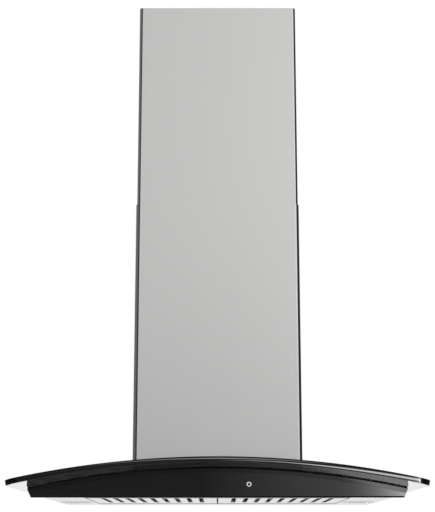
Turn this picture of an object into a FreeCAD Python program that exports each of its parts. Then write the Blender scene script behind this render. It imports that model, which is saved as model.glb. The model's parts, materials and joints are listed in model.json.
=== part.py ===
import FreeCAD, Part
import Sketcher
import math
import os

# Curved glass range hood for a wall, in millimetres.
# X runs to the right, Y into the wall (the wall is Y = 0), Z up.
# The origin is the middle of the two wall screw holes of the cleat that carries the hood.
# Sketches are drawn in heights above the hood's bottom plane; each body's Placement lowers
# them by the hanging height.

sizes = {
    # Hanging
    "hang_height": 262,         # wall holes above the hood's bottom plane
    "shell_wall_gap": 12,       # canopy shell off the wall
    # Glass canopy
    "glass_width": 600,
    "glass_depth": 460,
    "glass_wall_gap": 2,
    "glass_thickness": 8,
    "glass_radius": 1385,       # underside, bent about an axis that runs front to back
    "glass_corner": 18,
    "glass_hole_radius": 5,
    "notch_clearance": 4,       # glass notch round the motor box
    "glass_overhang": 125,      # glass ahead of the front panel's face
    "seal_thickness": 1.5,
    "seal_width": 12,
    "seal_end_inset": 0.5,      # front seal's ends in from the panel's top corners
    # Front panel
    "panel_crown": 43,          # height at the middle
    "panel_top_width": 572,
    "panel_bottom_width": 560,
    "panel_thickness": 4,
    "panel_bevel": 2,
    # Touch key
    "symbol_x": 47.4,
    "symbol_height": 19.8,
    "symbol_radius": 3.4,
    "symbol_stroke": 0.8,
    "symbol_depth": 0.4,
    "touch_width": 120,
    "touch_low": 12,
    "touch_high": 28,
    "touch_board_thickness": 1.6,
    "touch_housing_depth": 8,
    # Canopy shell
    "shell_width": 524,
    "shell_sheet": 1,
    "flange_drop": 13,          # flange round the motor box opening, below the shell's crown
    # Underside tray
    "tray_sheet": 0.8,
    "tray_rim": 10,
    "tray_fit": 0.2,
    # Grease filters
    "filter_width": 197.5,
    "filter_length": 252,
    "filter_height": 9,
    "filter_sheet": 0.8,
    "filter_gap": 1.2,          # round each filter in the tray's opening
    "filter_front_margin": 8,   # tray edge ahead of the filters, behind the front panel
    "slot_side_margin": 24.15,  # filter's edge to the first slot's middle
    "slot_width": 8,
    "slot_count": 9,
    "slot_front_margin": 15,
    "slot_rear_margin": 55,
    "retainer_width": 9,
    "mesh_pleats": 14,
    "mesh_sheet": 0.8,          # measured upright through the pleats
    "rod_radius": 1.25,
    "rod_clearance": 0.05,
    "rod_inset": 2.5,
    "lug_width": 1.5,
    "lug_inset": 14,
    "latch_width": 36,
    "latch_depth": 8,
    "latch_height": 4,
    "grip_margin": 3,
    "latch_travel": 4,
    "latch_clearance": 0.3,
    "tongue_width": 12,
    "tongue_thickness": 1.5,
    # Lamps
    "lamp_body_radius": 23.5,
    "lamp_bezel_radius": 26,
    "lamp_bezel_thickness": 1.2,
    "lamp_body_height": 14,
    "lens_radius": 20.3,
    "lens_thickness": 2,
    "lamp_from_wall": 151,
    # Motor box
    "box_sheet": 1,
    "box_side_gap": 21.2,       # to the chimney's outside
    "box_front": 203.8,         # front face from the wall
    "box_bottom": 26,
    "box_top": 300,
    "box_fit": 0.2,
    # Wall cleat and hook
    "cleat_width": 200,
    "cleat_sheet": 2,
    "cleat_drop": 20,
    "cleat_rise": 14,
    "cleat_lip_out": 8,
    "cleat_lip_top": 26,
    "hook_width": 180,
    "hook_fit": 0.2,
    "hook_tongue": 8,
    "hook_flange_low": 6,
    "wall_hole_spacing": 160,
    "wall_hole_radius": 3.5,
    "spacer_radius": 8,
    "spacer_inset": 42,         # from the canopy shell's edges
    "spacer_height": 10,
    # Blower
    "blower_from_wall": 104,
    "blower_height": 160,
    "volute_half_width": 38,
    "volute_wall": 2,
    "volute_first_radius": 72,
    "volute_step": 4,
    "volute_flange": 8,
    "inlet_radius": 50,
    "inlet_rim": 5,
    "impeller_radius": 64,
    "impeller_inner_radius": 52,
    "impeller_half_width": 35.5,
    "impeller_disc": 2,
    "impeller_ring": 1.5,
    "blade_count": 32,
    "blade_thickness": 1.2,
    "blade_sweep": 5,
    "hub_radius": 12,
    "hub_half_length": 14,
    "shaft_radius": 4,
    "shaft_clearance": 0.05,
    "motor_radius": 40,
    "motor_length": 48,
    "motor_stand": 10,          # motor face off the volute's side
    "motor_boss_radius": 12,
    "motor_boss_length": 4,
    "spider_sheet": 2,
    "spider_reach": 60,
    "spider_arm": 12,
    "spider_arms": 3,
    "capacitor_radius": 15,
    "capacitor_length": 60,
    "capacitor_base": 90,
    # Duct collar and flaps
    "collar_from_wall": 128,
    "collar_radius": 74.5,      # outside of the spigot
    "collar_wall": 1.5,
    "collar_height": 58,
    "collar_flange": 2,
    "collar_flange_width": 164,
    "collar_flange_rear": 48,
    "ledge_height": 20,
    "ledge_width": 3,
    "ledge_thickness": 1.5,
    "flap_gap": 0.5,
    "flap_thickness": 1.5,
    "flap_split": 0.5,
    "flap_pin_rise": 5.2,
    "flap_pin_radius": 2,
    "flap_pin_clearance": 0.05,
    "knuckle_radius": 3.4,
    "knuckle_length": 28,
    "knuckle_gap": 0.5,
    # Control box
    "control_width": 120,
    "control_depth": 30,
    "control_height": 36,
    "control_wall": 2,
    "control_from_wall": 16,
    "control_board_thickness": 1.6,
    "gland_inset": 14,
    "gland_radius": 8,
    "gland_bore_radius": 3.5,
    "gland_length": 16,
    "gland_thread_radius": 6,
    # Chimney
    "chimney_width": 272,
    "chimney_depth": 225,
    "chimney_sheet": 0.8,
    "chimney_bend": 7,
    "chimney_return": 18,
    "chimney_clearance": 0.65,  # between the two sections
    "lower_chimney_top": 486,
    "upper_chimney_top": 838.5,
    "chimney_overlap": 79,
    "chimney_lug_length": 30,
    "chimney_lug_sheet": 1.5,
    "chimney_lug_low": 52,
    "chimney_lug_high": 68,
    "chimney_lug_from_wall": 90,
    "bracket_half_width": 112,
    "bracket_sheet": 2,
    "bracket_step": 10,
    "bracket_leg": 45,
    "bracket_height": 30,
    "bracket_below_top": 7,
    "bracket_hole_spacing": 140,
    "bracket_hole_radius": 3.5,
    # Small screws
    "screw_radius": 2,
    "screw_head_radius": 3.6,
    "screw_head": 1.8,
    "screw_length": 6,
    "glass_screw_side_inset": 77,    # from the canopy shell's edges
    "glass_screw_front_inset": 43,
    "glass_screw_rear_inset": 48,
    "glass_screw_radius": 2.5,
    "glass_screw_head_radius": 6,
    "glass_screw_head": 3,
    "washer_radius": 9,
    "washer_thickness": 1.5,
    "bush_radius": 9,
}


class Size(float):
    """A length that remembers the sheet cells it is worked out from."""

    def __new__(cls, value, text):
        size = super().__new__(cls, value)
        size.text = text
        return size

    def __add__(self, other):
        return Size(float(self) + float(other), f"({self.text} + {text_of(other)})")

    def __radd__(self, other):
        return Size(float(other) + float(self), f"({text_of(other)} + {self.text})")

    def __sub__(self, other):
        return Size(float(self) - float(other), f"({self.text} - {text_of(other)})")

    def __rsub__(self, other):
        return Size(float(other) - float(self), f"({text_of(other)} - {self.text})")

    def __mul__(self, other):
        return Size(float(self) * float(other), f"({self.text} * {text_of(other)})")

    def __rmul__(self, other):
        return Size(float(other) * float(self), f"({text_of(other)} * {self.text})")

    def __truediv__(self, other):
        return Size(float(self) / float(other), f"({self.text} / {text_of(other)})")

    def __neg__(self):
        return Size(-float(self), f"(0 - {self.text})")


def text_of(number):
    if isinstance(number, Size):
        return number.text
    return f"({float(number):.9g})"


def root(number):
    return Size(math.sqrt(number), f"sqrt({text_of(number)})")


doc = FreeCAD.newDocument("range_hood")
sheet = doc.addObject("Spreadsheet::Sheet", "Sizes")
for row, (name, value) in enumerate(sizes.items(), start=1):
    sheet.set(f"A{row}", name)
    sheet.set(f"B{row}", str(value))
    sheet.setAlias(f"B{row}", name)
doc.recompute()

Cells = type("Cells", (), {name: Size(value, f"Sizes.{name}") for name, value in sizes.items()})
s = Cells()
parts = []

# Worked-out places, as distances from the wall (positive into the room) or heights above the
# hood's bottom plane.
glass_front = s.glass_wall_gap + s.glass_depth
panel_front = glass_front - s.glass_overhang
shell_front = panel_front - s.panel_thickness
shell_back = s.shell_wall_gap
shell_half = s.shell_width / 2
glass_under = s.panel_crown + s.seal_thickness
chimney_half = s.chimney_width / 2
box_half = chimney_half - s.box_side_gap
box_rear = shell_back + s.shell_sheet + s.box_fit
opening_half = box_half + s.box_fit
opening_front = s.box_front + s.box_fit
notch_half = box_half + s.notch_clearance
filter_pitch = s.filter_width + s.filter_gap * 2
filter_front = shell_front - s.filter_front_margin
filter_rear = filter_front - s.filter_length
tray_opening_half = filter_pitch
tray_opening_front = filter_front + s.filter_gap
tray_opening_rear = filter_rear - s.filter_gap
lamp_x = (shell_half + tray_opening_half) / 2
section_step = s.chimney_sheet + s.chimney_clearance
upper_half = chimney_half - section_step


def arch(level, x):
    """Height at x of the arc that lies a given level above the glass's underside."""
    radius = s.glass_radius + level
    return glass_under - s.glass_radius + root(radius * radius - x * x)


def bind(thing, path, size):
    """Ties a property to its size, or sets a plain number."""
    if isinstance(size, Size):
        thing.setExpression(path, size.text)
    elif path.startswith("Placement.Base."):
        base = thing.Placement.Base
        setattr(base, path[-1], float(size))
        thing.Placement.Base = base
    elif not path.startswith("Constraints"):
        setattr(thing, path, float(size))


def new_body(label, x=0, y=0, height=0):
    """A body whose own origin lies at x, y and a height above the hood's bottom plane."""
    body = doc.addObject("PartDesign::Body", label)
    bind(body, "Placement.Base.x", x)
    bind(body, "Placement.Base.y", y)
    bind(body, "Placement.Base.z", height - s.hang_height)
    parts.append(body)
    return body


def origin_feature(body, role):
    return [feature for feature in body.Origin.OriginFeatures if feature.Role == role][0]


def new_sketch(body, name, plane, offset=0):
    """XY looks down with +Z normal; XZ has its normal into the room; YZ has its normal to the right."""
    sketch = body.newObject("Sketcher::SketchObject", f"{body.Name}_{name}")
    sketch.AttachmentSupport = (origin_feature(body, f"{plane}_Plane"), [""])
    sketch.MapMode = "FlatFace"
    if isinstance(offset, Size):
        sketch.setExpression("AttachmentOffset.Base.z", offset.text)
    else:
        sketch.AttachmentOffset = FreeCAD.Placement(FreeCAD.Vector(0, 0, offset), FreeCAD.Rotation())
    return sketch


def fix(sketch, kind, size, *where):
    index = sketch.addConstraint(Sketcher.Constraint(kind, *where, float(size)))
    bind(sketch, f"Constraints[{index}]", size)


def arc_between(start, end, radius, turn):
    """Arc under half a circle from start to end; turn is 1 anticlockwise and -1 clockwise."""
    chord = end - start
    rise = math.sqrt(max(float(radius) ** 2 - (chord.Length / 2) ** 2, 0))
    left = FreeCAD.Vector(-chord.y, chord.x, 0)
    left.normalize()
    centre = (start + end) * 0.5 + left * (turn * rise)
    first, last = (start, end) if turn > 0 else (end, start)
    angles = [math.atan2(point.y - centre.y, point.x - centre.x) for point in (first, last)]
    if angles[1] < angles[0]:
        angles[1] += 2 * math.pi
    circle = Part.Circle(centre, FreeCAD.Vector(0, 0, 1), float(radius))
    return Part.ArcOfCircle(circle, angles[0], angles[1])


def outline(sketch, corners):
    """Closed outline. A corner is (x, y), or (x, y, radius, turn) where an arc runs to the next one."""
    spots = [FreeCAD.Vector(corner[0], corner[1], 0) for corner in corners]
    ends = []
    for index, corner in enumerate(corners):
        start = spots[index]
        end = spots[(index + 1) % len(spots)]
        if len(corner) == 2:
            ends.append((sketch.addGeometry(Part.LineSegment(start, end)), 1, 2))
        else:
            geometry = sketch.addGeometry(arc_between(start, end, corner[2], corner[3]))
            ends.append((geometry, 1, 2) if corner[3] > 0 else (geometry, 2, 1))
    for index, corner in enumerate(corners):
        geometry, first, last = ends[index]
        following = ends[(index + 1) % len(ends)]
        sketch.addConstraint(Sketcher.Constraint("Coincident", geometry, last, following[0], following[1]))
        fix(sketch, "DistanceX", corner[0], -1, 1, geometry, first)
        fix(sketch, "DistanceY", corner[1], -1, 1, geometry, first)
        if len(corner) > 2:
            fix(sketch, "Radius", corner[2], geometry)


def rectangle(sketch, left, right, low, high):
    outline(sketch, [(left, low), (right, low), (right, high), (left, high)])


def circle(sketch, x, y, radius):
    geometry = sketch.addGeometry(
        Part.Circle(FreeCAD.Vector(x, y, 0), FreeCAD.Vector(0, 0, 1), float(radius)))
    fix(sketch, "DistanceX", x, -1, 1, geometry, 3)
    fix(sketch, "DistanceY", y, -1, 1, geometry, 3)
    fix(sketch, "Radius", radius, geometry)


def pad(body, sketch, length, reverse=False):
    feature = body.newObject("PartDesign::Pad", f"{sketch.Name}_pad")
    feature.Profile = sketch
    feature.Reversed = reverse
    bind(feature, "Length", length)
    return feature


def cut(body, sketch, length, reverse=False):
    """Pocket along the sketch's normal, the way a pad would go."""
    feature = body.newObject("PartDesign::Pocket", f"{sketch.Name}_cut")
    feature.Profile = sketch
    feature.Reversed = not reverse
    bind(feature, "Length", length)
    return feature


def revolve(body, sketch, axis):
    feature = body.newObject("PartDesign::Revolution", f"{sketch.Name}_turn")
    feature.Profile = sketch
    feature.ReferenceAxis = (sketch, [axis])
    return feature


def pattern(body, feature, role, count):
    """Copies of a feature round one of the body's own axes."""
    ring = body.newObject("PartDesign::PolarPattern", f"{feature.Name}_ring")
    ring.Originals = [feature]
    ring.Axis = (origin_feature(body, role), [""])
    ring.Angle = 360
    bind(ring, "Occurrences", count)
    body.Tip = ring
    return ring


def block(label, x, y, height, length, width, depth):
    """A plain box by its low corner."""
    box = doc.addObject("Part::Box", label)
    bind(box, "Length", length)
    bind(box, "Width", width)
    bind(box, "Height", depth)
    bind(box, "Placement.Base.x", x)
    bind(box, "Placement.Base.y", y)
    bind(box, "Placement.Base.z", height - s.hang_height)
    parts.append(box)
    return box


def band(sketch, half_width, low, high):
    """Arched strip between two levels about the glass's underside."""
    outline(sketch, [
        (-half_width, arch(low, half_width), s.glass_radius + low, -1),
        (half_width, arch(low, half_width)),
        (half_width, arch(high, half_width), s.glass_radius + high, 1),
        (-half_width, arch(high, half_width)),
    ])


def under_arch(sketch, half_width, low, level):
    """Flat-bottomed shape with an arched top."""
    outline(sketch, [
        (-half_width, low),
        (half_width, low),
        (half_width, arch(level, half_width), s.glass_radius + level, 1),
        (-half_width, arch(level, half_width)),
    ])


def glass_canopy():
    body = new_body("glass_canopy")
    half = s.glass_width / 2
    sheet_sketch = new_sketch(body, "sheet", "XZ", s.glass_wall_gap)
    band(sheet_sketch, half, 0, s.glass_thickness)
    pad(body, sheet_sketch, s.glass_depth)
    through = glass_under + s.glass_thickness * 2
    notch = new_sketch(body, "notch", "XY")
    rectangle(notch, -notch_half, notch_half, -(s.box_front + s.notch_clearance), s.glass_wall_gap)
    cut(body, notch, through)
    corners = new_sketch(body, "corners", "XY")
    for side in (-1, 1):
        outline(corners, [
            (side * (half + 1), -(glass_front + 1)),
            (side * (half + 1), -(glass_front - s.glass_corner)),
            (side * half, -(glass_front - s.glass_corner), s.glass_corner, -side),
            (side * (half - s.glass_corner), -glass_front),
            (side * (half - s.glass_corner), -(glass_front + 1)),
        ])
    cut(body, corners, through)
    holes = new_sketch(body, "holes", "XY")
    for x, y in glass_screw_places():
        circle(holes, x, y, s.glass_hole_radius)
    cut(body, holes, through)


def glass_screw_places():
    x = shell_half - s.glass_screw_side_inset
    places = (shell_front - s.glass_screw_front_inset, shell_back + s.glass_screw_rear_inset)
    return [(side * x, -place) for side in (-1, 1) for place in places]


def glass_seals():
    front = new_body("seal_front")
    strip = new_sketch(front, "strip", "XZ", shell_front - s.seal_width)
    band(strip, s.panel_top_width / 2 - s.seal_end_inset, -s.seal_thickness, 0)
    pad(front, strip, s.seal_width)
    rear_half = shell_half - s.shell_sheet
    for side, label in ((-1, "seal_rear_left"), (1, "seal_rear_right")):
        body = new_body(label)
        strip = new_sketch(body, "strip", "XZ", shell_back)
        near = (side * notch_half, arch(-s.seal_thickness, notch_half))
        far = (side * rear_half, arch(-s.seal_thickness, rear_half))
        outline(strip, [
            (near[0], near[1], s.glass_radius - s.seal_thickness, -side),
            far,
            (side * rear_half, arch(0, rear_half), s.glass_radius, side),
            (side * notch_half, arch(0, notch_half)),
        ])
        pad(body, strip, s.seal_width)


def symbol_outline(sketch):
    """Power sign: an open ring with a bar in its gap, about the key's own centre."""
    x = s.symbol_x
    y = s.symbol_height
    inner = s.symbol_radius - s.symbol_stroke
    slope = math.sqrt(3) / 2
    outer = s.symbol_radius
    outline(sketch, [
        (x + outer / 2, y + outer * slope, outer, -1),
        (x + outer, y, outer, -1),
        (x, y - outer, outer, -1),
        (x - outer, y, outer, -1),
        (x - outer / 2, y + outer * slope),
        (x - inner / 2, y + inner * slope, inner, 1),
        (x - inner, y, inner, 1),
        (x, y - inner, inner, 1),
        (x + inner, y, inner, 1),
        (x + inner / 2, y + inner * slope),
    ])
    rectangle(sketch, x - s.symbol_stroke / 2, x + s.symbol_stroke / 2, y + s.symbol_stroke, y + outer)


def front_panel():
    body = new_body("front_panel")
    face = new_sketch(body, "face", "XZ", shell_front)
    top = s.panel_top_width / 2
    bottom = s.panel_bottom_width / 2
    outline(face, [
        (-bottom, 0),
        (bottom, 0),
        (top, arch(-s.seal_thickness, top), s.glass_radius - s.seal_thickness, 1),
        (-top, arch(-s.seal_thickness, top)),
    ])
    pad(body, face, s.panel_thickness)
    bevel = new_sketch(body, "bevel", "YZ", -(top + 1))
    outline(bevel, [
        (-(panel_front + 1), -1),
        (-(panel_front - s.panel_bevel - 1), -1),
        (-(panel_front + 1), s.panel_bevel + 1),
    ])
    cut(body, bevel, s.panel_top_width + 2)
    key = new_sketch(body, "key", "XZ", panel_front - s.symbol_depth)
    symbol_outline(key)
    cut(body, key, s.symbol_depth * 2)
    inlay = new_body("power_symbol")
    sign = new_sketch(inlay, "sign", "XZ", panel_front - s.symbol_depth)
    symbol_outline(sign)
    pad(inlay, sign, s.symbol_depth)


def touch_control():
    height = s.touch_high - s.touch_low
    middle = s.symbol_x / 2
    left = middle - s.touch_width / 2
    block("touch_board", left, -shell_front, s.touch_low, s.touch_width, s.touch_board_thickness, height)
    block("touch_housing", left, -(shell_front - s.touch_board_thickness), s.touch_low,
          s.touch_width, s.touch_housing_depth, height)


def body_shell():
    body = new_body("body_shell")
    skin = s.shell_sheet
    depth = shell_front - shell_back
    level = -s.seal_thickness
    outside = new_sketch(body, "outside", "XZ", shell_back)
    under_arch(outside, shell_half, s.tray_sheet, level)
    pad(body, outside, depth)
    inside = new_sketch(body, "inside", "XZ", shell_back + skin)
    under_arch(inside, shell_half - skin, -1, level - skin)
    cut(body, inside, depth - skin * 2)
    collar = new_sketch(body, "collar", "XZ", shell_back)
    under_arch(collar, opening_half + skin, glass_under + level - skin - s.flange_drop, level)
    pad(body, collar, opening_front + skin - shell_back)
    opening = new_sketch(body, "opening", "XY")
    rectangle(opening, -opening_half, opening_half, -opening_front, -(shell_back + skin))
    cut(body, opening, glass_under * 2)
    window = new_sketch(body, "window", "XZ", shell_front - skin * 2)
    middle = s.symbol_x / 2
    reach = s.touch_width / 2 + s.tray_fit
    rectangle(window, middle - reach, middle + reach, s.touch_low - s.tray_fit, s.touch_high + s.tray_fit)
    cut(body, window, skin * 3)
    bolts = new_sketch(body, "bolts", "XY")
    for x, y in glass_screw_places():
        circle(bolts, x, y, s.glass_screw_radius + s.tray_fit * 2)
    cut(body, bolts, glass_under * 2)
    drill_sides(body, shell_half + 1, s.shell_sheet * 3, tray_screw_places())
    drill_sides(body, opening_half + skin * 2, skin * 3, box_screw_places())


def tray_screw_places():
    """Places from the wall and heights of the tray's side screws."""
    return [(place, s.tray_rim / 2 + s.tray_sheet) for place in (shell_back + 40, shell_front - 40)]


def box_screw_places():
    height = s.box_bottom + s.screw_head_radius
    return [(place, height) for place in (box_rear + 30, s.box_front - 30)]


def drill_sides(body, start, length, places):
    """Screw holes along X through both side walls, from the outside inwards."""
    for side, name in ((-1, "left"), (1, "right")):
        holes = new_sketch(body, f"{name}_holes_{len(body.Group)}", "YZ", side * start)
        for place, height in places:
            circle(holes, -place, height, s.screw_radius)
        cut(body, holes, length, reverse=side > 0)


def bottom_tray():
    body = new_body("bottom_tray")
    skin = s.tray_sheet
    plate = new_sketch(body, "plate", "XY")
    rectangle(plate, -shell_half, shell_half, -shell_front, -shell_back)
    pad(body, plate, skin)
    side = shell_half - s.shell_sheet - s.tray_fit
    front = shell_front - s.shell_sheet - s.tray_fit
    back = shell_back + s.shell_sheet + s.tray_fit
    rim = new_sketch(body, "rim", "XY")
    rectangle(rim, -side, side, -front, -back)
    rectangle(rim, skin - side, side - skin, skin - front, -(back + skin))
    pad(body, rim, s.tray_rim + skin)
    hem = new_sketch(body, "hem", "XY")
    half = tray_opening_half
    rectangle(hem, -(half + skin), half + skin, -(tray_opening_front + skin), -(tray_opening_rear - skin))
    rectangle(hem, -half, half, -tray_opening_front, -tray_opening_rear)
    pad(body, hem, s.filter_height)
    opening = new_sketch(body, "opening", "XY", -1)
    rectangle(opening, -half, half, -tray_opening_front, -tray_opening_rear)
    for lamp in (-1, 1):
        circle(opening, lamp * lamp_x, -s.lamp_from_wall, s.lamp_body_radius + s.tray_fit)
    cut(body, opening, skin + 2)
    catches = new_sketch(body, "catches", "XZ", tray_opening_front - 1)
    for filter_side in (-1, 1):
        middle = filter_side * filter_pitch / 2
        rectangle(catches, middle - s.tongue_width / 2 - s.latch_clearance,
                  middle + s.tongue_width / 2 + s.latch_clearance,
                  tongue_low() - s.latch_clearance,
                  tongue_low() + s.tongue_thickness + s.latch_clearance)
    cut(body, catches, skin + 2)
    lugs(body)
    drill_sides(body, shell_half + 1, s.shell_sheet * 4, tray_screw_places())


def tongue_low():
    return s.filter_sheet * 2 + s.latch_clearance


def rod_line():
    """Distance from the wall and height of the filters' tilt rods."""
    return filter_rear + s.rod_inset, s.rod_inset


def lug_faces(side):
    """Middle of each tilt lug along X: two for each filter."""
    inner = side * (s.filter_gap + s.lug_inset)
    outer = side * (filter_pitch - s.filter_gap - s.lug_inset)
    return inner, outer


def lugs(body):
    """Plates on the tray's rear hem that carry the filters' tilt rods."""
    place, height = rod_line()
    for side, name in ((-1, "left"), (1, "right")):
        for index, middle in enumerate(lug_faces(side)):
            lug = new_sketch(body, f"{name}_lug_{index}", "YZ", middle - s.lug_width / 2)
            reach = s.rod_radius * 2
            outline(lug, [
                (-place, height - reach, reach, -1),
                (-(place + reach), height, reach, -1),
                (-place, height + reach),
                (-tray_opening_rear, height + reach),
                (-tray_opening_rear, height - reach),
            ])
            pad(body, lug, s.lug_width)
            bore = new_sketch(body, f"{name}_lug_bore_{index}", "YZ", middle - s.lug_width)
            circle(bore, -place, height, s.rod_radius + s.rod_clearance)
            cut(body, bore, s.lug_width * 2)


def grease_filter(side, name):
    middle = side * filter_pitch / 2
    left = middle - s.filter_width / 2
    right = middle + s.filter_width / 2
    skin = s.filter_sheet
    body = new_body(f"filter_face_{name}")
    plate = new_sketch(body, "plate", "XY")
    rectangle(plate, left, right, -filter_front, -filter_rear)
    pad(body, plate, skin)
    walls = new_sketch(body, "walls", "XY")
    rectangle(walls, left, right, -filter_front, -filter_rear)
    rectangle(walls, left + skin, right - skin, skin - filter_front, -(filter_rear + skin))
    pad(body, walls, s.filter_height)
    filter_cuts(body, side, middle, left, right)
    slots(body, middle)
    mesh(name, left + skin)
    retainer = new_body(f"filter_retainer_{name}")
    ring = new_sketch(retainer, "ring", "XY", s.filter_height - skin)
    rectangle(ring, left + skin, right - skin, skin - filter_front, -(filter_rear + skin))
    inset = skin + s.retainer_width
    rectangle(ring, left + inset, right - inset, inset - filter_front, -(filter_rear + inset))
    pad(retainer, ring, skin)
    rod = new_body(f"filter_rod_{name}")
    place, height = rod_line()
    section = new_sketch(rod, "section", "YZ", left)
    circle(section, -place, height, s.rod_radius)
    pad(rod, section, s.filter_width)
    latch(name, middle)


def mesh(name, left):
    """Pleated mesh between the filter's face and its retainer."""
    skin = s.filter_sheet
    front = filter_front - s.slot_front_margin + skin
    rear = filter_rear + s.rod_inset * 2 + s.rod_radius * 2
    body = new_body(f"filter_mesh_{name}")
    pleats = new_sketch(body, "pleats", "XZ", rear)
    step = (s.filter_width - skin * 2) / (s.mesh_pleats * 2)
    levels = (skin, s.filter_height - skin - s.mesh_sheet)
    below = [(left + step * index, levels[index % 2]) for index in range(int(s.mesh_pleats) * 2 + 1)]
    above = [(x, height + s.mesh_sheet) for x, height in reversed(below)]
    outline(pleats, below + above)
    pad(body, pleats, front - rear)


def filter_cuts(body, side, middle, left, right):
    """Clearances for the tilt lugs, the rod's ends, the latch grip and its tongue."""
    skin = s.filter_sheet
    place, height = rod_line()
    notches = new_sketch(body, "notches", "XY", -1)
    reach = s.lug_width / 2 + s.latch_clearance
    for lug in lug_faces(side):
        rectangle(notches, lug - reach, lug + reach, -(place + s.rod_radius * 2 + s.filter_gap), 1 - filter_rear)
    grip = grip_half(), grip_front(), grip_rear()
    rectangle(notches, middle - grip[0] - s.latch_clearance, middle + grip[0] + s.latch_clearance,
              -(grip[1] + s.latch_clearance), -(grip[2] - s.latch_travel - s.latch_clearance))
    cut(body, notches, s.filter_height + 2)
    bore = new_sketch(body, "rod_ends", "YZ", left - 1)
    circle(bore, -place, height, s.rod_radius)
    cut(body, bore, s.filter_width + 2)
    tongue = new_sketch(body, "tongue_slot", "XZ", filter_front - skin * 2)
    reach = s.tongue_width / 2 + s.latch_clearance
    rectangle(tongue, middle - reach, middle + reach, tongue_low() - s.latch_clearance,
              tongue_low() + s.tongue_thickness + s.latch_clearance)
    cut(body, tongue, skin * 3)


def slots(body, middle):
    """Rounded slots that run front to back, repeated across the filter's face."""
    slot = new_sketch(body, "slot", "XY", -1)
    spread = s.filter_width - s.slot_side_margin * 2
    x = middle - spread / 2
    half = s.slot_width / 2
    front = s.slot_front_margin - filter_front
    back = -(filter_rear + s.slot_rear_margin)
    outline(slot, [
        (x - half, front + half, half, 1),
        (x, front, half, 1),
        (x + half, front + half),
        (x + half, back - half, half, 1),
        (x, back, half, 1),
        (x - half, back - half),
    ])
    first = cut(body, slot, s.filter_sheet + 2)
    row = body.newObject("PartDesign::LinearPattern", f"{body.Name}_slot_row")
    row.Originals = [first]
    row.Direction = (origin_feature(body, "X_Axis"), [""])
    bind(row, "Length", spread)
    bind(row, "Occurrences", s.slot_count)
    body.Tip = row


def grip_half():
    return s.latch_width / 2 - s.grip_margin


def grip_front():
    return filter_front - s.filter_sheet - s.latch_clearance - s.grip_margin


def grip_rear():
    return filter_front - s.filter_sheet - s.latch_clearance - s.latch_depth


def latch(name, middle):
    """Sprung slider whose tongue faces the tray's front hem; it is pulled towards the wall."""
    body = new_body(f"filter_latch_{name}")
    front = filter_front - s.filter_sheet - s.latch_clearance
    slider = new_sketch(body, "slider", "XY", s.filter_sheet)
    rectangle(slider, middle - s.latch_width / 2, middle + s.latch_width / 2, -front, -grip_rear())
    pad(body, slider, s.latch_height)
    grip = new_sketch(body, "grip", "XY", s.latch_clearance)
    rectangle(grip, middle - grip_half(), middle + grip_half(), -grip_front(), -grip_rear())
    pad(body, grip, s.latch_height)
    tongue = new_sketch(body, "tongue", "XY", tongue_low())
    rectangle(tongue, middle - s.tongue_width / 2, middle + s.tongue_width / 2,
              s.latch_clearance - tray_opening_front, -grip_front())
    pad(body, tongue, s.tongue_thickness)


def lamp(side, name):
    body = new_body(f"lamp_{name}", side * lamp_x, -s.lamp_from_wall)
    section = new_sketch(body, "section", "XZ")
    recess = s.lamp_bezel_thickness * 2
    outline(section, [
        (s.lens_radius, -s.lamp_bezel_thickness),
        (s.lamp_bezel_radius, -s.lamp_bezel_thickness),
        (s.lamp_bezel_radius, 0),
        (s.lamp_body_radius, 0),
        (s.lamp_body_radius, s.lamp_body_height),
        (0, s.lamp_body_height),
        (0, s.lamp_body_height - recess),
        (s.lens_radius / 2, s.lamp_body_height - recess),
        (s.lens_radius, recess),
    ])
    revolve(body, section, "V_Axis")
    lens = new_body(f"lamp_lens_{name}", side * lamp_x, -s.lamp_from_wall)
    disc = new_sketch(lens, "disc", "XY", -s.lamp_bezel_thickness * 0.6)
    circle(disc, 0, 0, s.lens_radius)
    pad(lens, disc, s.lens_thickness)


def motor_box():
    body = new_body("motor_box")
    skin = s.box_sheet
    outside = new_sketch(body, "outside", "XY", s.box_bottom)
    rectangle(outside, -box_half, box_half, -s.box_front, -box_rear)
    pad(body, outside, s.box_top - s.box_bottom)
    inside = new_sketch(body, "inside", "XY", s.box_bottom - 1)
    rectangle(inside, skin - box_half, box_half - skin, skin - s.box_front, -(box_rear + skin))
    cut(body, inside, s.box_top - s.box_bottom + 1 - skin)
    outlet = new_sketch(body, "outlet", "XY", s.box_top - skin * 2)
    edges = outlet_edges()
    rectangle(outlet, -s.volute_half_width, s.volute_half_width, edges[0], edges[1])
    cut(body, outlet, skin * 3)
    drill_sides(body, box_half + 1, skin * 3, box_screw_places())


def volute_centres():
    """Y and height of the three arc centres of the spiral, with their radii."""
    half_step = s.volute_step / 2
    y = -s.blower_from_wall
    height = s.blower_height
    return [
        (y + half_step, height, s.volute_first_radius),
        (y - half_step, height, s.volute_first_radius + s.volute_step),
        (y - half_step, height + s.volute_step, s.volute_first_radius + s.volute_step * 2),
    ]


def outlet_edges():
    first, second, third = volute_centres()
    return third[0] - third[2], first[0]


def spiral(sketch, grow, top):
    """Spiral of quarter arcs with the outlet channel that leaves it upwards, grown by a wall."""
    first, second, third = volute_centres()
    front = third[0] - third[2] - grow
    back = first[0] + grow
    start = first[2] + grow
    outline(sketch, [
        (back, first[1] + root(start * start - grow * grow), start, -1),
        (first[0] + start, first[1], second[2] + grow, -1),
        (second[0], second[1] - second[2] - grow, third[2] + grow, -1),
        (front, third[1]),
        (front, top),
        (back, top),
    ])


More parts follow.
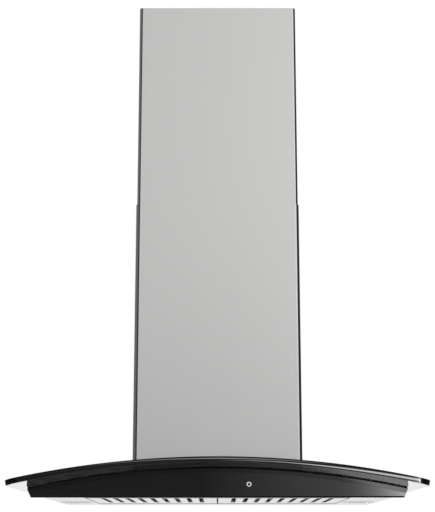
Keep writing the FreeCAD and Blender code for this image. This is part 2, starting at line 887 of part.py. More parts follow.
def volute_half(side, name):
    body = new_body(f"volute_{name}")
    wall = s.volute_wall
    top = s.box_top - s.box_sheet
    width = s.volute_half_width + wall
    away = side < 0
    outer = new_sketch(body, "outer", "YZ")
    spiral(outer, wall + 0, top)
    pad(body, outer, width, reverse=away)
    flange = new_sketch(body, "flange", "YZ")
    edges = outlet_edges()
    grow = wall + s.volute_flange
    rectangle(flange, edges[0] - grow, edges[1] + grow, top - wall, top)
    pad(body, flange, width + s.volute_flange, reverse=away)
    inner = new_sketch(body, "inner", "YZ")
    spiral(inner, Size(0, "0"), top)
    cut(body, inner, s.volute_half_width, reverse=away)
    rim = new_sketch(body, "rim", "YZ", side * width)
    circle(rim, -s.blower_from_wall, s.blower_height, s.inlet_radius + wall)
    pad(body, rim, s.inlet_rim, reverse=away)
    inlet = new_sketch(body, "inlet", "YZ", side * (s.volute_half_width - wall))
    circle(inlet, -s.blower_from_wall, s.blower_height, s.inlet_radius)
    cut(body, inlet, s.inlet_rim + wall * 3, reverse=away)


def impeller():
    body = new_body("impeller", 0, -s.blower_from_wall, s.blower_height)
    outer = s.impeller_radius
    inner = s.impeller_inner_radius
    disc = new_sketch(body, "disc", "YZ", -s.impeller_disc / 2)
    circle(disc, 0, 0, outer)
    pad(body, disc, s.impeller_disc)
    hub = new_sketch(body, "hub", "YZ", -s.hub_half_length)
    circle(hub, 0, 0, s.hub_radius)
    pad(body, hub, s.hub_half_length * 2)
    for side, name in ((-1, "left"), (1, "right")):
        ring = new_sketch(body, f"ring_{name}", "YZ", side * s.impeller_half_width)
        circle(ring, 0, 0, outer)
        circle(ring, 0, 0, inner)
        pad(body, ring, s.impeller_ring, reverse=side > 0)
    bore = new_sketch(body, "bore", "YZ", -s.hub_half_length - 1)
    circle(bore, 0, 0, s.shaft_radius)
    cut(body, bore, s.hub_half_length * 2 + 2)
    blade = new_sketch(body, "blade", "YZ", -s.impeller_half_width)
    bend = outer - inner
    tip = root(outer * outer - s.blade_sweep * s.blade_sweep)
    outline(blade, [
        (inner, 0, bend, 1),
        (tip, s.blade_sweep),
        (tip, s.blade_sweep + s.blade_thickness, bend, -1),
        (inner, s.blade_thickness),
    ])
    first = pad(body, blade, s.impeller_half_width * 2)
    pattern(body, first, "X_Axis", s.blade_count)


def turned(label, corners, x=0, y=0, height=0):
    """Piece turned about an axis along X; corners are places along X and radii."""
    body = new_body(label, x, y, height)
    section = new_sketch(body, "section", "XY")
    outline(section, corners)
    revolve(body, section, "H_Axis")
    return body


def motor_start():
    return s.volute_half_width + s.volute_wall + s.motor_stand


def drive():
    axis = (0, -s.blower_from_wall, s.blower_height)
    start = motor_start()
    end = start + s.motor_length
    bore = s.shaft_radius + s.shaft_clearance
    boss = s.motor_boss_length
    turned("blower_motor", [
        (start - boss, bore),
        (end, bore),
        (end, s.motor_radius - boss),
        (end - boss, s.motor_radius),
        (start, s.motor_radius),
        (start, s.motor_boss_radius),
        (start - boss, s.motor_boss_radius),
    ], *axis)
    turned("impeller_shaft", [
        (-(s.hub_half_length + boss), 0),
        (end - boss, 0),
        (end - boss, s.shaft_radius),
        (-(s.hub_half_length + boss), s.shaft_radius),
    ], *axis)
    spider(axis)
    base = s.capacitor_base
    body = new_body("motor_capacitor", s.box_sheet + s.capacitor_radius - box_half, -s.blower_from_wall, base)
    can = new_sketch(body, "can", "XY")
    circle(can, 0, 0, s.capacitor_radius)
    pad(body, can, s.capacitor_length)


def spider(axis):
    """Three-armed carrier between the motor's face and the volute's side."""
    body = new_body("motor_spider", *axis)
    start = motor_start() - s.spider_sheet
    foot = s.motor_stand
    ring = new_sketch(body, "ring", "YZ", start)
    circle(ring, 0, 0, s.motor_radius)
    circle(ring, 0, 0, s.motor_radius - s.spider_arm)
    pad(body, ring, s.spider_sheet)
    arm = new_sketch(body, "arm", "YZ", start)
    rectangle(arm, -s.spider_arm / 2, s.spider_arm / 2, s.motor_radius - s.spider_sheet, s.spider_reach)
    pattern(body, pad(body, arm, s.spider_sheet), "X_Axis", s.spider_arms)
    leg = new_sketch(body, "leg", "YZ", motor_start())
    rectangle(leg, -s.spider_arm / 2, s.spider_arm / 2, s.spider_reach - s.spider_sheet, s.spider_reach)
    pattern(body, pad(body, leg, foot, reverse=True), "X_Axis", s.spider_arms)


def duct_collar():
    body = new_body("duct_collar", 0, -s.collar_from_wall, s.box_top)
    outer = s.collar_radius
    inner = outer - s.collar_wall
    plate = new_sketch(body, "plate", "XY")
    half = s.collar_flange_width / 2
    rectangle(plate, -half, half, s.collar_from_wall - s.box_front, s.collar_from_wall - s.collar_flange_rear)
    pad(body, plate, s.collar_flange)
    tube = new_sketch(body, "tube", "XY")
    circle(tube, 0, 0, outer)
    pad(body, tube, s.collar_height)
    hole = new_sketch(body, "hole", "XY", -1)
    circle(hole, 0, 0, inner)
    cut(body, hole, s.collar_height + 2)
    ledge = new_sketch(body, "ledge", "XY", s.ledge_height - s.ledge_thickness)
    circle(ledge, 0, 0, outer)
    circle(ledge, 0, 0, inner - s.ledge_width)
    pad(body, ledge, s.ledge_thickness)
    pin_hole = new_sketch(body, "pin_hole", "YZ", -(outer + 1))
    circle(pin_hole, 0, s.ledge_height + s.flap_pin_rise, s.flap_pin_radius)
    cut(body, pin_hole, outer * 2 + 2)
    pin = new_body("flap_pin", 0, -s.collar_from_wall, s.box_top)
    rod = new_sketch(pin, "rod", "YZ", -outer)
    circle(rod, 0, s.ledge_height + s.flap_pin_rise, s.flap_pin_radius)
    pad(pin, rod, outer * 2)


def flap(side, name):
    """Half-round non-return flap; side is +1 for the wall side of the pin."""
    body = new_body(f"flap_{name}", 0, -s.collar_from_wall, s.box_top + s.ledge_height)
    radius = s.collar_radius - s.collar_wall - s.flap_gap
    split = s.flap_split
    reach = root(radius * radius - split * split)
    plate = new_sketch(body, "plate", "XY")
    outline(plate, [
        (reach, side * split, radius, side),
        (0, side * radius, radius, side),
        (-reach, side * split),
    ])
    pad(body, plate, s.flap_thickness)
    starts = flap_knuckle_starts(side)
    for index, start in enumerate(starts):
        knuckle = new_sketch(body, f"knuckle_{index}", "YZ", start)
        circle(knuckle, 0, s.flap_pin_rise, s.knuckle_radius)
        pad(body, knuckle, s.knuckle_length)
        web = new_sketch(body, f"web_{index}", "YZ", start)
        rectangle(web, side * split, side * s.knuckle_radius, 0, s.flap_pin_rise)
        pad(body, web, s.knuckle_length)
    bore = new_sketch(body, "bore", "YZ", -radius)
    circle(bore, 0, s.flap_pin_rise, s.flap_pin_radius + s.flap_pin_clearance)
    cut(body, bore, radius * 2)


def flap_knuckle_starts(side):
    """Left ends of the two knuckles; the two flaps' knuckles take turns along the pin."""
    step = s.knuckle_length + s.knuckle_gap
    if side > 0:
        return -step * 2, Size(0, "0") + s.knuckle_gap / 2
    return -step, step


def control_box():
    top = s.box_top
    width = s.control_width
    wall = s.control_wall
    back = -s.control_from_wall
    front = back - s.control_depth
    body = new_body("control_box")
    shell = new_sketch(body, "shell", "XY", top)
    rectangle(shell, -width / 2, width / 2, front, back)
    pad(body, shell, s.control_height)
    inside = new_sketch(body, "inside", "XY", top + wall)
    rectangle(inside, wall - width / 2, width / 2 - wall, front + wall, back - wall)
    cut(body, inside, s.control_height)
    lid = new_body("control_cover")
    plate = new_sketch(lid, "plate", "XY", top + s.control_height)
    rectangle(plate, -width / 2, width / 2, front, back)
    gland_x = width / 2 - s.gland_inset
    gland_y = back - s.control_depth / 2
    circle(plate, gland_x, gland_y, s.gland_thread_radius)
    pad(lid, plate, wall)
    block("control_board", wall - width / 2, front + wall, top + wall, width - wall * 4,
          s.control_board_thickness, s.control_height - wall * 2)
    gland = new_body("cable_gland", gland_x, gland_y, top + s.control_height + wall)
    section = new_sketch(gland, "section", "XZ")
    outline(section, [
        (s.gland_bore_radius, -wall),
        (s.gland_thread_radius, -wall),
        (s.gland_thread_radius, 0),
        (s.gland_radius, 0),
        (s.gland_radius, s.gland_length / 2),
        (s.gland_thread_radius, s.gland_length),
        (s.gland_bore_radius, s.gland_length),
    ])
    revolve(gland, section, "V_Axis")


def wall_cleat():
    hang = s.hang_height
    skin = s.cleat_sheet
    cleat = new_body("wall_cleat")
    section = new_sketch(cleat, "section", "YZ", -s.cleat_width / 2)
    lip = s.cleat_lip_out
    outline(section, [
        (0, hang - s.cleat_drop),
        (0, hang + s.cleat_rise + skin),
        (-(lip - skin), hang + s.cleat_rise + skin),
        (-(lip - skin), hang + s.cleat_lip_top),
        (-lip, hang + s.cleat_lip_top),
        (-lip, hang + s.cleat_rise),
        (-skin, hang + s.cleat_rise),
        (-skin, hang - s.cleat_drop),
    ])
    pad(cleat, section, s.cleat_width)
    holes = new_sketch(cleat, "holes", "XZ", -1)
    for side in (-1, 1):
        circle(holes, side * s.wall_hole_spacing / 2, hang, s.wall_hole_radius)
    cut(cleat, holes, skin + 2)
    hook = new_body("hang_hook")
    bend = new_sketch(hook, "bend", "YZ", -s.hook_width / 2)
    tongue = -(lip - skin - s.hook_fit)
    top = hang + s.cleat_lip_top
    outline(bend, [
        (tongue, top - s.hook_tongue),
        (tongue + skin, top - s.hook_tongue),
        (tongue + skin, top + skin),
        (-box_rear, top + skin),
        (-box_rear, hang + s.hook_flange_low),
        (skin - box_rear, hang + s.hook_flange_low),
        (skin - box_rear, top),
        (tongue, top),
    ])
    pad(hook, bend, s.hook_width)


def wall_spacer(side, name):
    body = new_body(f"wall_spacer_{name}")
    disc = new_sketch(body, "disc", "XZ")
    circle(disc, side * (shell_half - s.spacer_inset), s.spacer_height, s.spacer_radius)
    pad(body, disc, s.shell_wall_gap)


def chimney_section(sketch, half, back, front, radius):
    """C-shaped sheet section, open to the wall between its two returns."""
    skin = s.chimney_sheet
    small = radius - skin
    lip = chimney_half - s.chimney_return
    outline(sketch, [
        (-lip, -back),
        (radius - half, -back, radius, 1),
        (-half, -(back + radius)),
        (-half, radius - front, radius, 1),
        (radius - half, -front),
        (half - radius, -front, radius, 1),
        (half, radius - front),
        (half, -(back + radius), radius, 1),
        (half - radius, -back),
        (lip, -back),
        (lip, -(back + skin)),
        (half - radius, -(back + skin), small, -1),
        (half - skin, -(back + radius)),
        (half - skin, radius - front, small, -1),
        (half - radius, skin - front),
        (radius - half, skin - front, small, -1),
        (skin - half, radius - front),
        (skin - half, -(back + radius), small, -1),
        (radius - half, -(back + skin)),
        (-lip, -(back + skin)),
    ])


def chimney():
    lower = new_body("chimney_lower")
    foot = arch(s.glass_thickness, chimney_half) - s.chimney_sheet
    section = new_sketch(lower, "section", "XY", foot)
    chimney_section(section, chimney_half, Size(0, "0"), s.chimney_depth, s.chimney_bend)
    pad(lower, section, s.lower_chimney_top - foot)
    seat = new_sketch(lower, "seat", "XZ", -1)
    under_arch(seat, chimney_half + 1, foot - s.glass_thickness, s.glass_thickness)
    cut(lower, seat, s.chimney_depth + 2)
    for side, name in ((-1, "left"), (1, "right")):
        hole = new_sketch(lower, f"{name}_hole", "YZ", side * (chimney_half + 1))
        place, height = chimney_screw_place()
        circle(hole, -place, height, s.screw_radius)
        cut(lower, hole, s.chimney_sheet + 2, reverse=side > 0)
    upper = new_body("chimney_upper")
    bottom = s.lower_chimney_top - s.chimney_overlap
    section = new_sketch(upper, "section", "XY", bottom)
    chimney_section(section, upper_half, section_step, s.chimney_depth - section_step,
                    s.chimney_bend - section_step)
    pad(upper, section, s.upper_chimney_top - bottom)
    for side, name in ((-1, "left"), (1, "right")):
        hole = new_sketch(upper, f"{name}_hole", "YZ", side * (upper_half + 1))
        place, height = bracket_screw_place()
        circle(hole, -place, height, s.screw_radius)
        cut(upper, hole, s.chimney_sheet + 2, reverse=side > 0)


def chimney_screw_place():
    middle = s.chimney_lug_from_wall + s.chimney_lug_length / 2
    return middle, (s.chimney_lug_low + s.chimney_lug_high) / 2


def bracket_screw_place():
    middle = (s.bracket_step + s.bracket_leg) / 2
    return middle, s.upper_chimney_top - s.bracket_below_top - s.bracket_height / 2


def chimney_lug(side, name):
    """U-shaped lug between the motor box and the lower chimney's side."""
    body = new_body(f"chimney_lug_{name}")
    skin = s.chimney_lug_sheet
    inner = side * box_half
    outer = side * (chimney_half - s.chimney_sheet)
    section = new_sketch(body, "section", "XZ", s.chimney_lug_from_wall)
    outline(section, [
        (inner, s.chimney_lug_high),
        (inner, s.chimney_lug_low),
        (outer, s.chimney_lug_low),
        (outer, s.chimney_lug_high),
        (outer - side * skin, s.chimney_lug_high),
        (outer - side * skin, s.chimney_lug_low + skin),
        (inner + side * skin, s.chimney_lug_low + skin),
        (inner + side * skin, s.chimney_lug_high),
    ])
    pad(body, section, s.chimney_lug_length)
    hole = new_sketch(body, "hole", "YZ", outer - side * skin * 2)
    place, height = chimney_screw_place()
    circle(hole, -place, height, s.screw_radius)
    cut(body, hole, skin * 3, reverse=side < 0)


def chimney_bracket():
    body = new_body("chimney_bracket")
    skin = s.bracket_sheet
    inner = s.bracket_half_width
    outer = upper_half - s.chimney_sheet
    height = s.upper_chimney_top - s.bracket_below_top - s.bracket_height
    section = new_sketch(body, "section", "XY", height)
    step = s.bracket_step
    leg = s.bracket_leg
    outline(section, [
        (-inner, 0),
        (-inner, -step),
        (-outer, -step),
        (-outer, -leg),
        (skin - outer, -leg),
        (skin - outer, -(step + skin)),
        (skin - inner, -(step + skin)),
        (skin - inner, -skin),
        (inner - skin, -skin),
        (inner - skin, -(step + skin)),
        (outer - skin, -(step + skin)),
        (outer - skin, -leg),
        (outer, -leg),
        (outer, -step),
        (inner, -step),
        (inner, 0),
    ])
    pad(body, section, s.bracket_height)
    holes = new_sketch(body, "holes", "XZ", -1)
    for side in (-1, 1):
        circle(holes, side * s.bracket_hole_spacing / 2, height + s.bracket_height / 2, s.bracket_hole_radius)
    cut(body, holes, skin + 2)
    for side, name in ((-1, "left"), (1, "right")):
        hole = new_sketch(body, f"{name}_hole", "YZ", side * (outer + 1))
        place, level = bracket_screw_place()
        circle(hole, -place, level, s.screw_radius)
        cut(body, hole, skin + 2, reverse=side > 0)


def screw(x, y, height, direction, radius, head_radius, head, length):
    """Cylinder-headed screw whose head sits on the outside of the point, shank along direction."""
    spot = FreeCAD.Vector(x, y, height - s.hang_height)
    way = FreeCAD.Vector(*direction)
    shank = Part.makeCylinder(radius, length, spot, way)
    cap = Part.makeCylinder(head_radius, head, spot - way * float(head), way)
    return shank.fuse(cap).removeSplitter()


def fasteners(label, screws):
    group = doc.addObject("Part::Feature", label)
    group.Shape = Part.makeCompound(screws)
    parts.append(group)


def side_screws(label, half, places, length):
    small = (s.screw_radius, s.screw_head_radius, s.screw_head, length)
    fasteners(label, [screw(side * half, -place, height, (-side, 0, 0), *small)
                      for side in (-1, 1) for place, height in places])


def glass_fixings():
    """Screws square to the glass, with a washer above it and a bush in the seal gap below."""
    screws = []
    washers = []
    bushes = []
    centre = FreeCAD.Vector(0, 0, glass_under - s.glass_radius - s.hang_height)
    for x, y in glass_screw_places():
        angle = math.asin(x / (s.glass_radius - s.seal_thickness))
        way = FreeCAD.Vector(math.sin(angle), 0, math.cos(angle))
        base = centre + FreeCAD.Vector(0, y, 0)
        top = s.glass_radius + s.glass_thickness
        washer = Part.makeCylinder(s.washer_radius, s.washer_thickness, base + way * float(top), way)
        hole = Part.makeCylinder(s.glass_screw_radius, s.glass_radius * 2, base, way)
        washers.append(washer.cut(hole))
        height = top + s.washer_thickness
        length = height - s.glass_radius + s.seal_thickness + s.screw_length
        shank = Part.makeCylinder(s.glass_screw_radius, length, base + way * float(height), way * -1)
        cap = Part.makeCylinder(s.glass_screw_head_radius, s.glass_screw_head, base + way * float(height), way)
        screws.append(shank.fuse(cap).removeSplitter())
        level = s.glass_radius - s.seal_thickness * 2
        post = Part.makeCylinder(s.bush_radius, s.seal_thickness * 3, base + way * float(level), way)
        outer = Part.makeCylinder(s.glass_radius, s.bush_radius * 4,
                                  base - FreeCAD.Vector(0, s.bush_radius * 2, 0), FreeCAD.Vector(0, 1, 0))
        inner = Part.makeCylinder(s.glass_radius - s.seal_thickness, s.bush_radius * 4,
                                  base - FreeCAD.Vector(0, s.bush_radius * 2, 0), FreeCAD.Vector(0, 1, 0))
        bushes.append(post.common(outer).cut(inner).cut(hole))
    fasteners("glass_screws", screws)
    fasteners("glass_washers", washers)
    fasteners("glass_bushes", bushes)


def screws():
    lug_depth = s.chimney_sheet + s.chimney_lug_sheet + s.screw_radius
    side_screws("tray_screws", shell_half, tray_screw_places(), s.screw_length)
    side_screws("box_screws", opening_half + s.shell_sheet, box_screw_places(), s.screw_length)
    side_screws("chimney_screws", chimney_half, [chimney_screw_place()], lug_depth)
    side_screws("bracket_screws", upper_half, [bracket_screw_place()], lug_depth)


glass_canopy()
glass_seals()
front_panel()
touch_control()
body_shell()
bottom_tray()
motor_box()
impeller()
drive()
duct_collar()
flap(-1, "front")
flap(1, "rear")
control_box()
wall_cleat()
chimney()
chimney_bracket()
for side, name in ((-1, "left"), (1, "right")):
    grease_filter(side, name)
    lamp(side, name)
    volute_half(side, name)
    wall_spacer(side, name)
    chimney_lug(side, name)
glass_fixings()
screws()

doc.recompute()
for thing in doc.Objects:
    if "Invalid" in thing.State or "Error" in thing.State:
        raise RuntimeError(f"{thing.Name} is not sound: {thing.State}")
    if thing.TypeId == "PartDesign::Pocket" and thing.BaseFeature.Shape.Volume <= thing.Shape.Volume:
        raise RuntimeError(f"{thing.Name} cuts nothing")
for part in parts:
    if part.Shape.isNull() or not part.Shape.isValid():
        raise RuntimeError(f"{part.Label} has no valid shape")

os.makedirs("parts", exist_ok=True)
for part in parts:
    part.Shape.exportStep(os.path.join("parts", f"{part.Label}.step"))
print(f"{len(parts)} sub-parts written")
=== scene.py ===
import json
import math

import bmesh
import bpy
import numpy as np
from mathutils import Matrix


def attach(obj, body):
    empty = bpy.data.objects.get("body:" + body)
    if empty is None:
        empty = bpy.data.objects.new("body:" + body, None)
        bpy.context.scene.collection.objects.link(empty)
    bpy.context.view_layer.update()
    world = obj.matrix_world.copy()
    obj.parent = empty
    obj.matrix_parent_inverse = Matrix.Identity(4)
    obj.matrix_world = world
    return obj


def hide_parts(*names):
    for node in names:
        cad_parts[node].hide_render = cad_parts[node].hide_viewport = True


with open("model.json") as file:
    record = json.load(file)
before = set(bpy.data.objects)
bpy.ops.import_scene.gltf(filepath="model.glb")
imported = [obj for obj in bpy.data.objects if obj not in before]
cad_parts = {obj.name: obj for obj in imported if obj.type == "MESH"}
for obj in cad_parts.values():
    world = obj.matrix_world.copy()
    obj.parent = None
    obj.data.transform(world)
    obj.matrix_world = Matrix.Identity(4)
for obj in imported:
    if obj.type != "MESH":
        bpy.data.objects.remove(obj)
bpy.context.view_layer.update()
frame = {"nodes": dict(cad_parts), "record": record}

nodes = frame["nodes"]
mm = 0.001
micron = 1e-6
print("range hood: frame loaded with", len(nodes), "pieces")


# shape helpers

def gridQuads(rows, columns, closed=False):
    # quad (i, j) joins grid points (i, j), (i+1, j), (i+1, j+1), (i, j+1); closed wraps the rows
    i, j = np.meshgrid(np.arange(rows if closed else rows - 1), np.arange(columns - 1), indexing="ij")
    following = (i + 1) % rows
    return np.stack([i * columns + j, following * columns + j,
                     following * columns + j + 1, i * columns + j + 1], -1).reshape(-1, 4)


def slab(front, back):
    # closed plate between two grids of one size: both faces, then a strip of quads round the rim
    rows, columns = front.shape[:2]
    count = rows * columns
    quads = gridQuads(rows, columns)
    rim = np.concatenate([np.arange(columns), np.arange(1, rows) * columns + columns - 1,
                          (rows - 1) * columns + np.arange(columns - 2, -1, -1),
                          np.arange(rows - 2, 0, -1) * columns])
    following = np.roll(rim, -1)
    strip = np.stack([rim, following, following + count, rim + count], 1)
    points = np.concatenate([front.reshape(-1, 3), back.reshape(-1, 3)])
    return points, np.concatenate([quads, quads[:, ::-1] + count, strip])


def turned(profile, centre, segments=96):
    # point = centre + radius * (cos a, sin a) level + along upright, for every corner of the profile
    radius, along = np.array(profile, float).T
    angle = np.linspace(0, 2 * math.pi, segments, endpoint=False)[:, None]
    x, y = radius * np.cos(angle), radius * np.sin(angle)
    points = np.stack([x, y, np.broadcast_to(along, x.shape)], -1) + np.array(centre)
    return points.reshape(-1, 3), gridQuads(segments, len(profile), closed=True)


def joined(shapes):
    # one set of points and quads from several shapes, each one's quads moved on by the points before it
    start, points, quads = 0, [], []
    for shapePoints, shapeQuads in shapes:
        points.append(shapePoints.reshape(-1, 3))
        quads.append(shapeQuads + start)
        start += len(points[-1])
    return np.concatenate(points), np.concatenate(quads)


def bentPath(corners, radius, steps=13):
    # each corner becomes a quarter arc from a to b: corner + r(b - a) - r b cos t + r a sin t
    corners = np.array(corners, float)
    path = [corners[:1]]
    for before, corner, after in zip(corners, corners[1:], corners[2:]):
        a = (corner - before) / np.linalg.norm(corner - before)
        b = (after - corner) / np.linalg.norm(after - corner)
        t = np.linspace(0, math.pi / 2, steps)[:, None]
        path.append(corner + radius * (b - a) - radius * b * np.cos(t) + radius * a * np.sin(t))
    path.append(corners[-1:])
    return np.concatenate(path)


def archHeight(x, radius, crown):
    # height of an arc of that radius whose top is at crown: crown - r + sqrt(r^2 - x^2)
    return crown - radius + np.sqrt(radius ** 2 - x ** 2)


def placed(name, data):
    # an object at the origin, unturned, with its place in its mesh; only lights and the camera move
    made = bpy.data.objects.new(name, data)
    bpy.context.scene.collection.objects.link(made)
    return made


def bevelEdges(made, name, width, segments, angle):
    # rounds the edges that turn by more than that many degrees
    edge = made.modifiers.new(name, "BEVEL")
    edge.width = width
    edge.segments = segments
    edge.limit_method = "ANGLE"
    edge.angle_limit = math.radians(angle)
    return edge


def piece(name, shape, body, coats, replaced=(), bevel=0, sharp=32, flat=True, paint=None):
    # edges sharper than so many degrees stay hard; paint gives each quad the number of its coat
    points, quads = shape
    mesh = bpy.data.meshes.new(name)
    mesh.from_pydata(points.tolist(), [], quads.tolist())
    for coat in coats:
        mesh.materials.append(coat)
    if paint is not None:
        mesh.polygons.foreach_set("material_index", paint.astype(np.int32))
    work = bmesh.new()
    work.from_mesh(mesh)
    bmesh.ops.remove_doubles(work, verts=work.verts, dist=2 * micron)
    bmesh.ops.recalc_face_normals(work, faces=work.faces)
    work.to_mesh(mesh)
    work.free()
    mesh.shade_smooth()
    mesh.set_sharp_from_angle(angle=math.radians(sharp))
    made = placed(name, mesh)
    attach(made, body)
    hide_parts(*replaced)
    if bevel:
        bevelEdges(made, "softEdges", bevel, 2, 40)
    if flat:
        shade = made.modifiers.new("flatFaces", "WEIGHTED_NORMAL")
        shade.keep_sharp = True
    return made


# material helpers

def shaderNode(tree, kind, inputs=None, **settings):
    # one node; each input is a plain value or another node's socket
    made = tree.nodes.new(kind)
    for key, value in settings.items():
        setattr(made, key, value)
    for key, value in (inputs or {}).items():
        if isinstance(value, bpy.types.NodeSocket):
            tree.links.new(value, made.inputs[key])
        else:
            made.inputs[key].default_value = value
    return made


def newFinish(name, **constants):
    # a material with these constants on its shader's own sockets
    finish = bpy.data.materials.new(name)
    finish.use_nodes = True
    tree = finish.node_tree
    shader = tree.nodes["Principled BSDF"]
    for key, value in constants.items():
        shader.inputs[key.replace("_", " ")].default_value = value
    return finish, tree, shader


def feed(tree, shader, **sockets):
    # what varies over the surface goes to the shader's socket of that name
    for key, value in sockets.items():
        tree.links.new(value, shader.inputs[key.replace("_", " ")])


def objectPlace(tree, stretch=(1, 1, 1), turn=(0, 0, 0)):
    # the object's own coordinates, turned, each axis times its stretch
    place = shaderNode(tree, "ShaderNodeTexCoord").outputs["Object"]
    settings = {"Vector": place, "Scale": stretch, "Rotation": turn}
    return shaderNode(tree, "ShaderNodeMapping", settings).outputs[0]


def noise(tree, scale, stretch=(1, 1, 1), detail=4.0):
    # cloudy pattern from 0 to 1, finer with a higher scale
    vector = objectPlace(tree, stretch)
    return shaderNode(tree, "ShaderNodeTexNoise",
                      {"Vector": vector, "Scale": scale, "Detail": detail}).outputs["Fac"]


def between(tree, value, low, high, start=0.3, end=0.7):
    # straight line from low at start to high at end, held beyond both
    return shaderNode(tree, "ShaderNodeMapRange",
                      {"Value": value, "From Min": start, "From Max": end,
                       "To Min": low, "To Max": high}).outputs["Result"]


def maths(tree, operation, first, second=0.0):
    # one sum; operations on a single number leave the second out
    return shaderNode(tree, "ShaderNodeMath", {0: first, 1: second}, operation=operation).outputs[0]


def mixed(tree, factor, first, second):
    # level = first * (1 - factor) + second * factor
    return shaderNode(tree, "ShaderNodeMix", {0: factor, 2: first, 3: second}).outputs[0]


def tint(tree, factor, first, second):
    # colour = first * (1 - factor) + second * factor
    made = shaderNode(tree, "ShaderNodeMix", {0: factor, 6: (*first, 1), 7: (*second, 1)}, data_type="RGBA")
    return made.outputs[2]


def setBump(tree, shader, height, strength, distance):
    # the height pattern tilts the surface; distance is its depth in metres
    made = shaderNode(tree, "ShaderNodeBump", {"Height": height, "Strength": strength, "Distance": distance})
    feed(tree, shader, Normal=made.outputs["Normal"])


# finishes

steel = {
    "across": (14, 900, 900), "upright": (900, 900, 7),    # how tightly the grain runs along x, y and z
    "shade": (0.66, 0.655, 0.65), "streakDarker": 0.98,
    "roughness": (0.2, 0.215), "smudge": (-0.01, 0.02),    # smudges add to the roughness of the streaks
}


def brushedSteel(name, grain, shade=steel["shade"]):
    # fine streaks: noise squeezed hard across the grain and drawn out along it
    finish, tree, shader = newFinish(name, Metallic=1.0)
    streaks = noise(tree, 1.0, grain, 3.0)
    smudges = noise(tree, 5.0, detail=3.0)
    roughness = maths(tree, "ADD", between(tree, streaks, *steel["roughness"]),
                      between(tree, smudges, *steel["smudge"]))
    dark = tuple(steel["streakDarker"] * part for part in shade)
    feed(tree, shader, Roughness=roughness,
         Base_Color=tint(tree, between(tree, streaks, 0.0, 1.0), dark, shade))
    setBump(tree, shader, streaks, 0.015, 0.00003)
    return finish


def smokedGlass():
    # dark smoked sheet: each surface takes its share, and a passing shadow ray loses about the same
    finish, tree, shader = newFinish("smokedGlass", Roughness=0.0, IOR=1.5, Transmission_Weight=1.0)
    haze = noise(tree, 6.0, detail=2.0)
    feed(tree, shader, Base_Color=tint(tree, haze, (0.077, 0.082, 0.082), (0.085, 0.09, 0.09)))
    path = shaderNode(tree, "ShaderNodeLightPath")
    clear = shaderNode(tree, "ShaderNodeBsdfTransparent", {"Color": (0.081, 0.086, 0.086, 1)})
    through = shaderNode(tree, "ShaderNodeMixShader", {0: path.outputs["Is Shadow Ray"],
                                                       1: shader.outputs[0], 2: clear.outputs[0]})
    feed(tree, tree.nodes["Material Output"], Surface=through.outputs[0])
    return finish


def darkGloss(name, first, second, scale, detail, stretch=(1, 1, 1), **constants):
    # sharp mirror over near black, which drifts slowly between two shades
    finish, tree, shader = newFinish(name, Roughness=0.0, **constants)
    feed(tree, shader, Base_Color=tint(tree, noise(tree, scale, stretch, detail), first, second))
    return finish


def grainedFinish(name, first, second, roughness, grainScale=900.0, bump=0.15, **constants):
    # moulded or painted skin: a fine pebble for the bump, a slow drift for the colour and the gloss
    finish, tree, shader = newFinish(name, **constants)
    pebble = noise(tree, grainScale, detail=2.0)
    drift = noise(tree, 18.0, detail=3.0)
    feed(tree, shader, Base_Color=tint(tree, drift, first, second),
         Roughness=between(tree, drift, roughness - 0.05, roughness + 0.05))
    setBump(tree, shader, pebble, bump, 0.0002)
    return finish


def galvanisedSheet():
    # zinc spangle: crystal cells, each with its own grey and gloss
    finish, tree, shader = newFinish("galvanisedSheet", Metallic=1.0)
    cells = shaderNode(tree, "ShaderNodeTexVoronoi", {"Vector": objectPlace(tree), "Scale": 150.0})
    grey = shaderNode(tree, "ShaderNodeSeparateColor", {0: cells.outputs["Color"]}).outputs[0]
    feed(tree, shader, Base_Color=tint(tree, grey, (0.54, 0.55, 0.565), (0.64, 0.65, 0.66)),
         Roughness=between(tree, grey, 0.34, 0.44, 0.0, 1.0))
    setBump(tree, shader, noise(tree, 160.0, detail=3.0), 0.1, 0.0002)
    return finish


def expandedMesh(name, wire, openingShade):
    # diamond openings: |sin| of two slanting waves multiplied; where both are high the colour is painted
    # shade for the dark space behind, not a cut
    across, along = 900.0, 1600.0    # radians in a metre
    finish, tree, shader = newFinish(name, Metallic=1.0, Roughness=0.32)
    place = shaderNode(tree, "ShaderNodeSeparateXYZ", {0: objectPlace(tree)})
    waves = []
    for sign in (1.0, -1.0):
        slant = maths(tree, "ADD", maths(tree, "MULTIPLY", place.outputs[0], across),
                      maths(tree, "MULTIPLY", place.outputs[1], sign * along))
        waves.append(maths(tree, "ABSOLUTE", maths(tree, "SINE", slant)))
    hole = between(tree, maths(tree, "MULTIPLY", *waves), 0.0, 1.0, 0.35, 0.6)
    feed(tree, shader, Base_Color=tint(tree, hole, (wire,) * 3, (openingShade,) * 3))
    setBump(tree, shader, hole, 0.6, -0.0006)
    return finish


def circuitBoard():
    # coated board: straight tracks from brick joints, a shade lighter than the coat
    finish, tree, shader = newFinish("circuitBoard", IOR=1.5)
    place = objectPlace(tree, turn=(math.pi / 2, 0, 0))
    tracks = shaderNode(tree, "ShaderNodeTexBrick",
                        {"Vector": place, "Scale": 60.0, "Mortar Size": 0.035, "Mortar Smooth": 0.1})
    feed(tree, shader, Roughness=between(tree, noise(tree, 40.0), 0.28, 0.4),
         Base_Color=tint(tree, tracks.outputs["Fac"], (0.012, 0.09, 0.035), (0.05, 0.24, 0.1)))
    setBump(tree, shader, tracks.outputs["Fac"], 0.3, 0.0002)
    return finish


